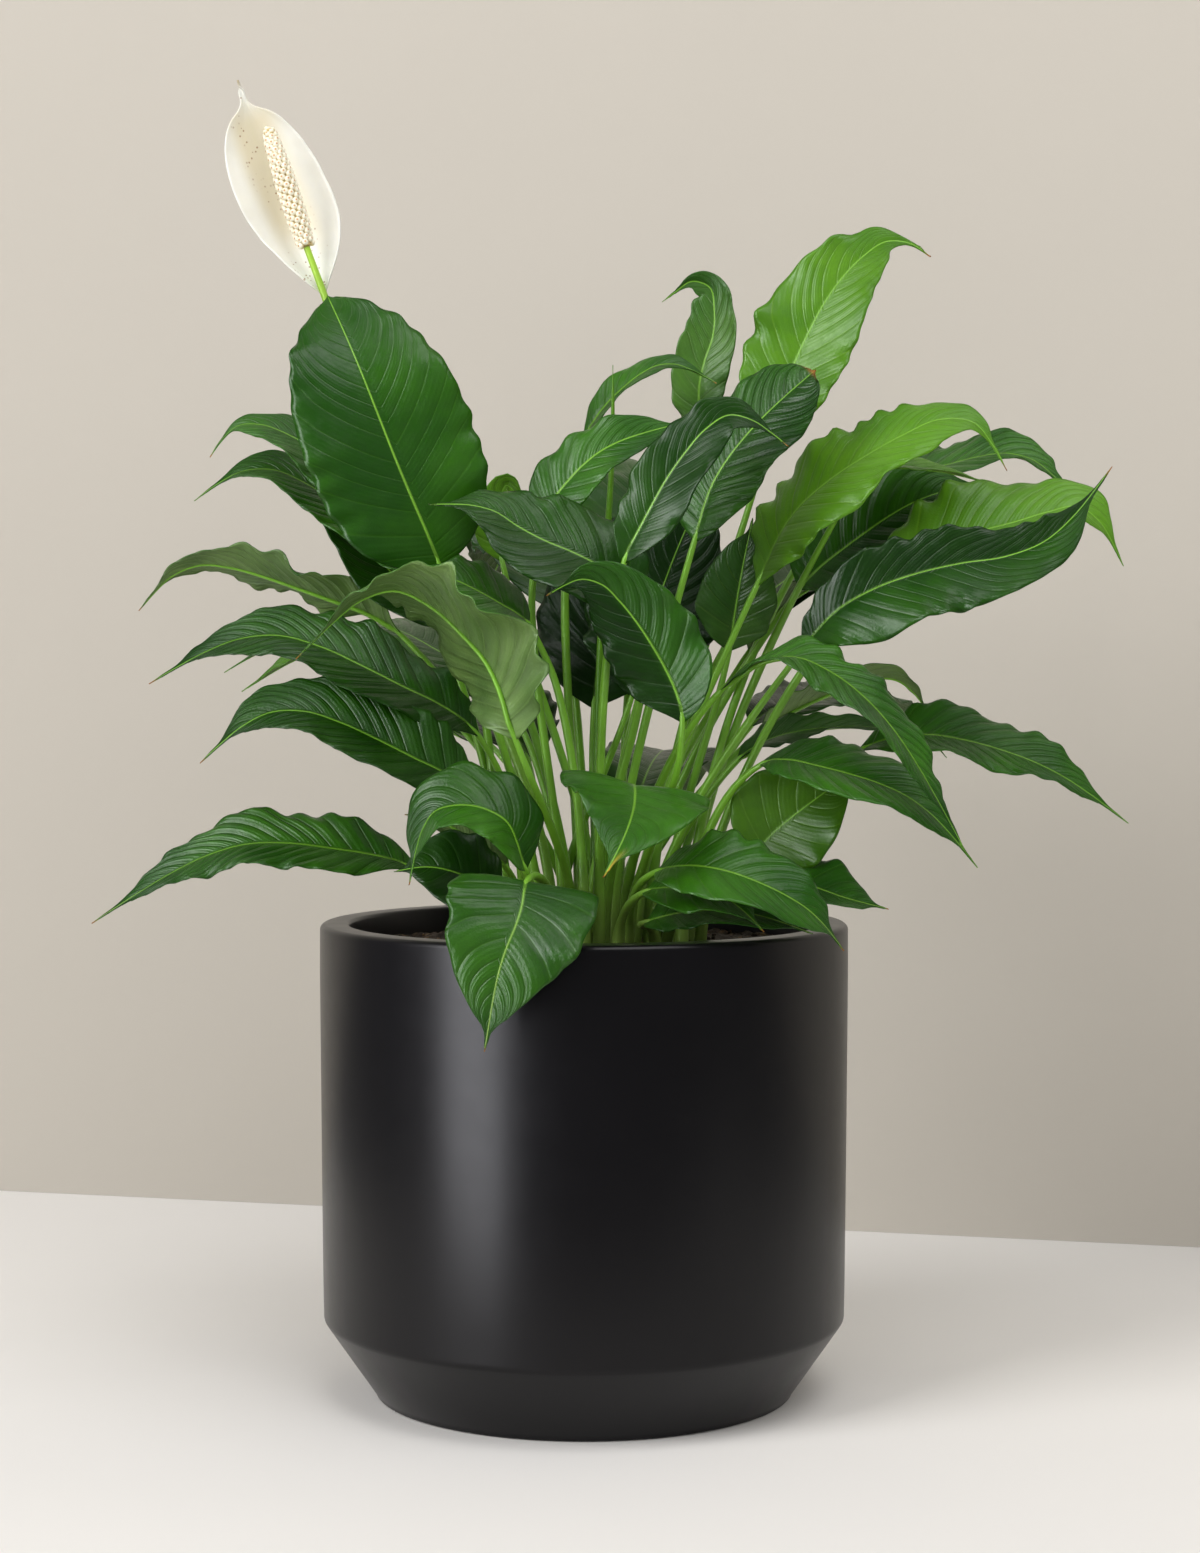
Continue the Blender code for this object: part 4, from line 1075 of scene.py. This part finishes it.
class PEACELILY_OT_planter(bpy.types.Operator):
    """Turn the cylindrical black planter with its rounded rim and chamfered foot"""

    bl_idname = "peace_lily.planter"
    bl_label = "Planter"

    def execute(self, context):
        settings = context.scene.peace_lily.planter
        piece = turn_on_wheel("black_planter", turned_profile(settings), settings.sides)
        alone(piece)
        bpy.ops.object.shade_smooth_by_angle(angle=math.radians(40))
        piece.data.materials.append(planter_material(settings))
        finish_piece(piece, "planter")
        return {"FINISHED"}


def soil_material(settings):
    """Dark lumps with paler fibres."""
    nodes = Skin("soil")
    base = tuple(settings.colour)
    lumps = nodes.grain(nodes.position, 160.0, 6.0, 0.7)
    body = nodes.blend(nodes.spread(lumps, 0.35, 0.7), scaled(base, 0.35), base)
    cells = nodes.put("TexVoronoi", {"Vector": nodes.position, "Scale": 330.0}).outputs["Color"]
    fibres = nodes.put("SeparateColor", {0: cells}).outputs[0]
    body = nodes.blend(nodes.spread(fibres, 0.82, 0.9, 0.0, 0.6), body, colour(120, 92, 62))
    return nodes.finish(body, nodes.spread(lumps, 0.3, 0.7, 0.95, 0.7), (lumps, 0.9, 0.0015))


SOIL_GAP = 0.0004
SOIL_FALL = 0.0025


class PEACELILY_OT_soil(bpy.types.Operator):
    """Fill the planter with crumbly soil"""

    bl_idname = "peace_lily.soil"
    bl_label = "Soil"

    def execute(self, context):
        settings = context.scene.peace_lily.soil
        inner = PLANTER_HIGH.x - context.scene.peace_lily.planter.wall - SOIL_GAP
        piece = add(bpy.ops.mesh.primitive_grid_add, "crumbly_soil", x_subdivisions=150, y_subdivisions=150,
                    size=2)
        for vertex in piece.data.vertices:
            x, y, _ = vertex.co
            place = Vector((x * math.sqrt(1 - y * y / 2), y * math.sqrt(1 - x * x / 2), 0)) * inner
            lumps = noise.fractal(place * 95, 0.8, 2.2, 5)
            fall = SOIL_FALL * (place.length / inner) ** 2
            vertex.co = (place.x, place.y, SOIL_TOP - fall - 0.001 + lumps * settings.roughness)
        alone(piece)
        bpy.ops.object.mode_set(mode="EDIT")
        bpy.ops.mesh.select_all(action="DESELECT")
        bpy.ops.mesh.select_non_manifold()
        for drop in (0.15, 0.055):
            bpy.ops.mesh.extrude_region_move(TRANSFORM_OT_translate={"value": (0, 0, -drop)})
        bpy.ops.transform.resize(value=(0.8, 0.8, 0), center_override=(0, 0, 0.018))
        bpy.ops.mesh.edge_face_add()
        bpy.ops.mesh.select_all(action="SELECT")
        bpy.ops.mesh.normals_make_consistent(inside=False)
        bpy.ops.object.mode_set(mode="OBJECT")
        piece = join([piece, self.crumbs(settings, inner)])
        bpy.ops.object.shade_smooth()
        paint(piece, soil_material(settings))
        finish_piece(piece, "potting_soil")
        return {"FINISHED"}

    def crumbs(self, settings, inner):
        """Loose crumbs and chips of bark, each a squashed and turned stone."""
        shape, faces = pattern(bpy.ops.mesh.primitive_ico_sphere_add, subdivisions=1, radius=1)
        chance = random.Random("crumbs")
        copies = []
        for _ in range(settings.crumbs):
            away, angle = inner * 0.97 * math.sqrt(chance.random()), chance.uniform(0, math.tau)
            size = 0.0008 + 0.0026 * chance.random() ** 3
            scale = np.array([chance.uniform(0.6, 1.7), chance.uniform(0.5, 1.1), chance.uniform(0.35, 0.8)])
            turn, lean = chance.uniform(0, math.tau), chance.uniform(-0.5, 0.5)
            grown = shape * scale * size * (1 + 0.25 * np.array([[chance.uniform(-1, 1)] for _ in shape]))
            turned = np.array(Matrix.Rotation(turn, 3, "Z") @ Matrix.Rotation(lean, 3, "Y"))
            fall = SOIL_FALL * (away / inner) ** 2
            place = (away * math.cos(angle), away * math.sin(angle), SOIL_TOP - fall - 0.0004)
            copies.append(grown @ turned.T + np.array(place))
        return many("soil_crumbs", copies, faces)


# ---------------------------------------------------------------- stage


# Width, depth and place of each floor. The small one catches the planter's reflection.
FLOORS = {
    "studio_floor": (14, 14, (0, 0, -0.0003)),
    "studio_table": (1.3, 1.0, (0, 0.06, -0.0002)),
}
BACKDROP_PLACE = (-0.01, 0.468, 2.0)
BACKDROP_TURN = -14.2
CARD_PLACE = Vector((-1.50, -1.42, 0.25))
CARD_GLOW = 8.5

# Place, target, width and height of each light.
LIGHTS = {
    "key": ((-2.4, -1.9, 2.0), (0, 0, 0.2), 1.7, 2.4),
    "overhead": ((0.7, -1.3, 2.8), (0, 0.1, 0.3), 2.0, 2.0),
    "fill": ((1.3, -3.0, 1.0), (0.5, 0.4, 0.2), 2.2, 2.0),
}
FILL_SHARE = 0.75
WORLD_STRENGTH = 0.2
CAMERA_PLACE = (0, -1.485, 0.365)
CAMERA_LENS = 66.8
CAMERA_SHIFT = (0.0103, -0.0628)


def plain_material(name, base, one_sided=False):
    nodes = Skin(name)
    body = nodes.blend(nodes.grain(nodes.position, 3.0, 3.0), scaled(base, 0.97), scaled(base, 1.02))
    relief = nodes.grain(nodes.position, 400.0, 2.0)
    made = nodes.finish(body, 0.75, (relief, 0.05, 0.0005), {"Specular IOR Level": 0.2})
    if one_sided:
        clear = nodes.put("BsdfTransparent")
        back = nodes.put("NewGeometry").outputs["Backfacing"]
        mix = nodes.put("MixShader", {0: back, 1: nodes.shader.outputs[0], 2: clear.outputs[0]})
        nodes.feed(mix.outputs[0], nodes.tree.nodes["Material Output"].inputs[0])
    return made


def plane(name, size, place, turn, material):
    """A flat rectangle with its scale applied."""
    piece = add(bpy.ops.mesh.primitive_plane_add, name, size=1, location=place, rotation=turn)
    piece.scale = (*size, 1)
    bpy.ops.object.transform_apply(location=True, rotation=True, scale=True)
    paint(piece, material)
    return piece


def soft_light(name, power):
    place, target, width, height = LIGHTS[name]
    lamp = add(bpy.ops.object.light_add, name, type="AREA", location=place)
    lamp.data.shape, lamp.data.size, lamp.data.size_y = "RECTANGLE", width, height
    lamp.data.energy = power
    lamp.rotation_euler = (Vector(target) - Vector(place)).to_track_quat("-Z", "Y").to_euler()
    return lamp


class PEACELILY_OT_stage(bpy.types.Operator):
    """Set the pale floor, the backdrop, the soft lights and the camera"""

    bl_idname = "peace_lily.stage"
    bl_label = "Stage"

    def execute(self, context):
        settings = context.scene.peace_lily.stage
        pale = plain_material("studio_floor", tuple(settings.floor_colour))
        floors = [plane(name, (width, depth), place, (0, 0, 0), pale)
                  for name, (width, depth, place) in FLOORS.items()]
        floors[0].visible_glossy = False
        wall = plain_material("studio_backdrop", tuple(settings.wall_colour), True)
        upright = (math.radians(90), 0, math.radians(BACKDROP_TURN))
        backdrop = plane("studio_backdrop", (9, 4), BACKDROP_PLACE, upright, wall)
        card = self.card()
        world = context.scene.world or bpy.data.worlds.new("studio")
        context.scene.world = world
        world.use_nodes = True
        background = world.node_tree.nodes["Background"]
        background.inputs[0].default_value = (*colour(236, 236, 240), 1)
        background.inputs[1].default_value = WORLD_STRENGTH
        soft_light("key", settings.key_power)
        soft_light("overhead", settings.top_power)
        soft_light("fill", settings.top_power * FILL_SHARE).visible_glossy = False
        context.scene.view_settings.view_transform = "Standard"
        context.scene.view_settings.look = "None"
        camera = add(bpy.ops.object.camera_add, "Camera", location=CAMERA_PLACE,
                     rotation=(math.radians(90), 0, 0))
        camera.data.lens, camera.data.sensor_width = CAMERA_LENS, 36
        camera.data.shift_x, camera.data.shift_y = CAMERA_SHIFT
        context.scene.camera = camera
        return {"FINISHED"}

    def card(self):
        """A glowing card on the left that only shows as a soft highlight in glossy surfaces."""
        glow = bpy.data.materials.new("studio_card")
        glow.use_nodes = True
        nodes = Nodes(glow.node_tree)
        shine = nodes.put("Emission", {"Color": (0.95, 0.95, 1), "Strength": CARD_GLOW})
        nodes.feed(shine.outputs[0], glow.node_tree.nodes["Material Output"].inputs[0])
        glow.cycles.emission_sampling = "NONE"
        turn = (-CARD_PLACE).to_track_quat("Z", "Y").to_euler()
        card = plane("studio_card", (0.95, 2.6), CARD_PLACE, turn, glow)
        card.visible_camera = card.visible_diffuse = card.visible_shadow = False
        card.visible_transmission = False
        return card


class PEACELILY_PT_panel(bpy.types.Panel):
    """The steps that grow the peace lily, in order"""

    bl_idname = "PEACELILY_PT_panel"
    bl_label = "Peace Lily"
    bl_space_type = "VIEW_3D"
    bl_region_type = "UI"
    bl_category = "Peace Lily"

    def draw(self, context):
        settings = context.scene.peace_lily
        for group, operators in STEPS:
            box = self.layout.box()
            for operator in operators:
                box.operator(operator.bl_idname)
            values = getattr(settings, group)
            for name in values.__annotations__:
                box.prop(values, name)


STEPS = (
    ("planter", (PEACELILY_OT_planter,)),
    ("soil", (PEACELILY_OT_soil,)),
    ("leaves", (PEACELILY_OT_leaves, PEACELILY_OT_spear)),
    ("flower", (PEACELILY_OT_flower,)),
    ("stage", (PEACELILY_OT_stage,)),
)

CLASSES = (
    PlanterSettings,
    SoilSettings,
    LeafSettings,
    FlowerSettings,
    StageSettings,
    PeaceLilySettings,
    PEACELILY_OT_planter,
    PEACELILY_OT_soil,
    PEACELILY_OT_leaves,
    PEACELILY_OT_spear,
    PEACELILY_OT_flower,
    PEACELILY_OT_stage,
    PEACELILY_PT_panel,
)


def register():
    for kind in CLASSES:
        bpy.utils.register_class(kind)
    bpy.types.Scene.peace_lily = PointerProperty(type=PeaceLilySettings)


def unregister():
    del bpy.types.Scene.peace_lily
    for kind in reversed(CLASSES):
        bpy.utils.unregister_class(kind)


def main():
    register()
    bpy.ops.peace_lily.planter()
    bpy.ops.peace_lily.soil()
    bpy.ops.peace_lily.leaves()
    bpy.ops.peace_lily.spear()
    bpy.ops.peace_lily.flower()
    bpy.ops.peace_lily.stage()


if __name__ == "__main__":
    main()
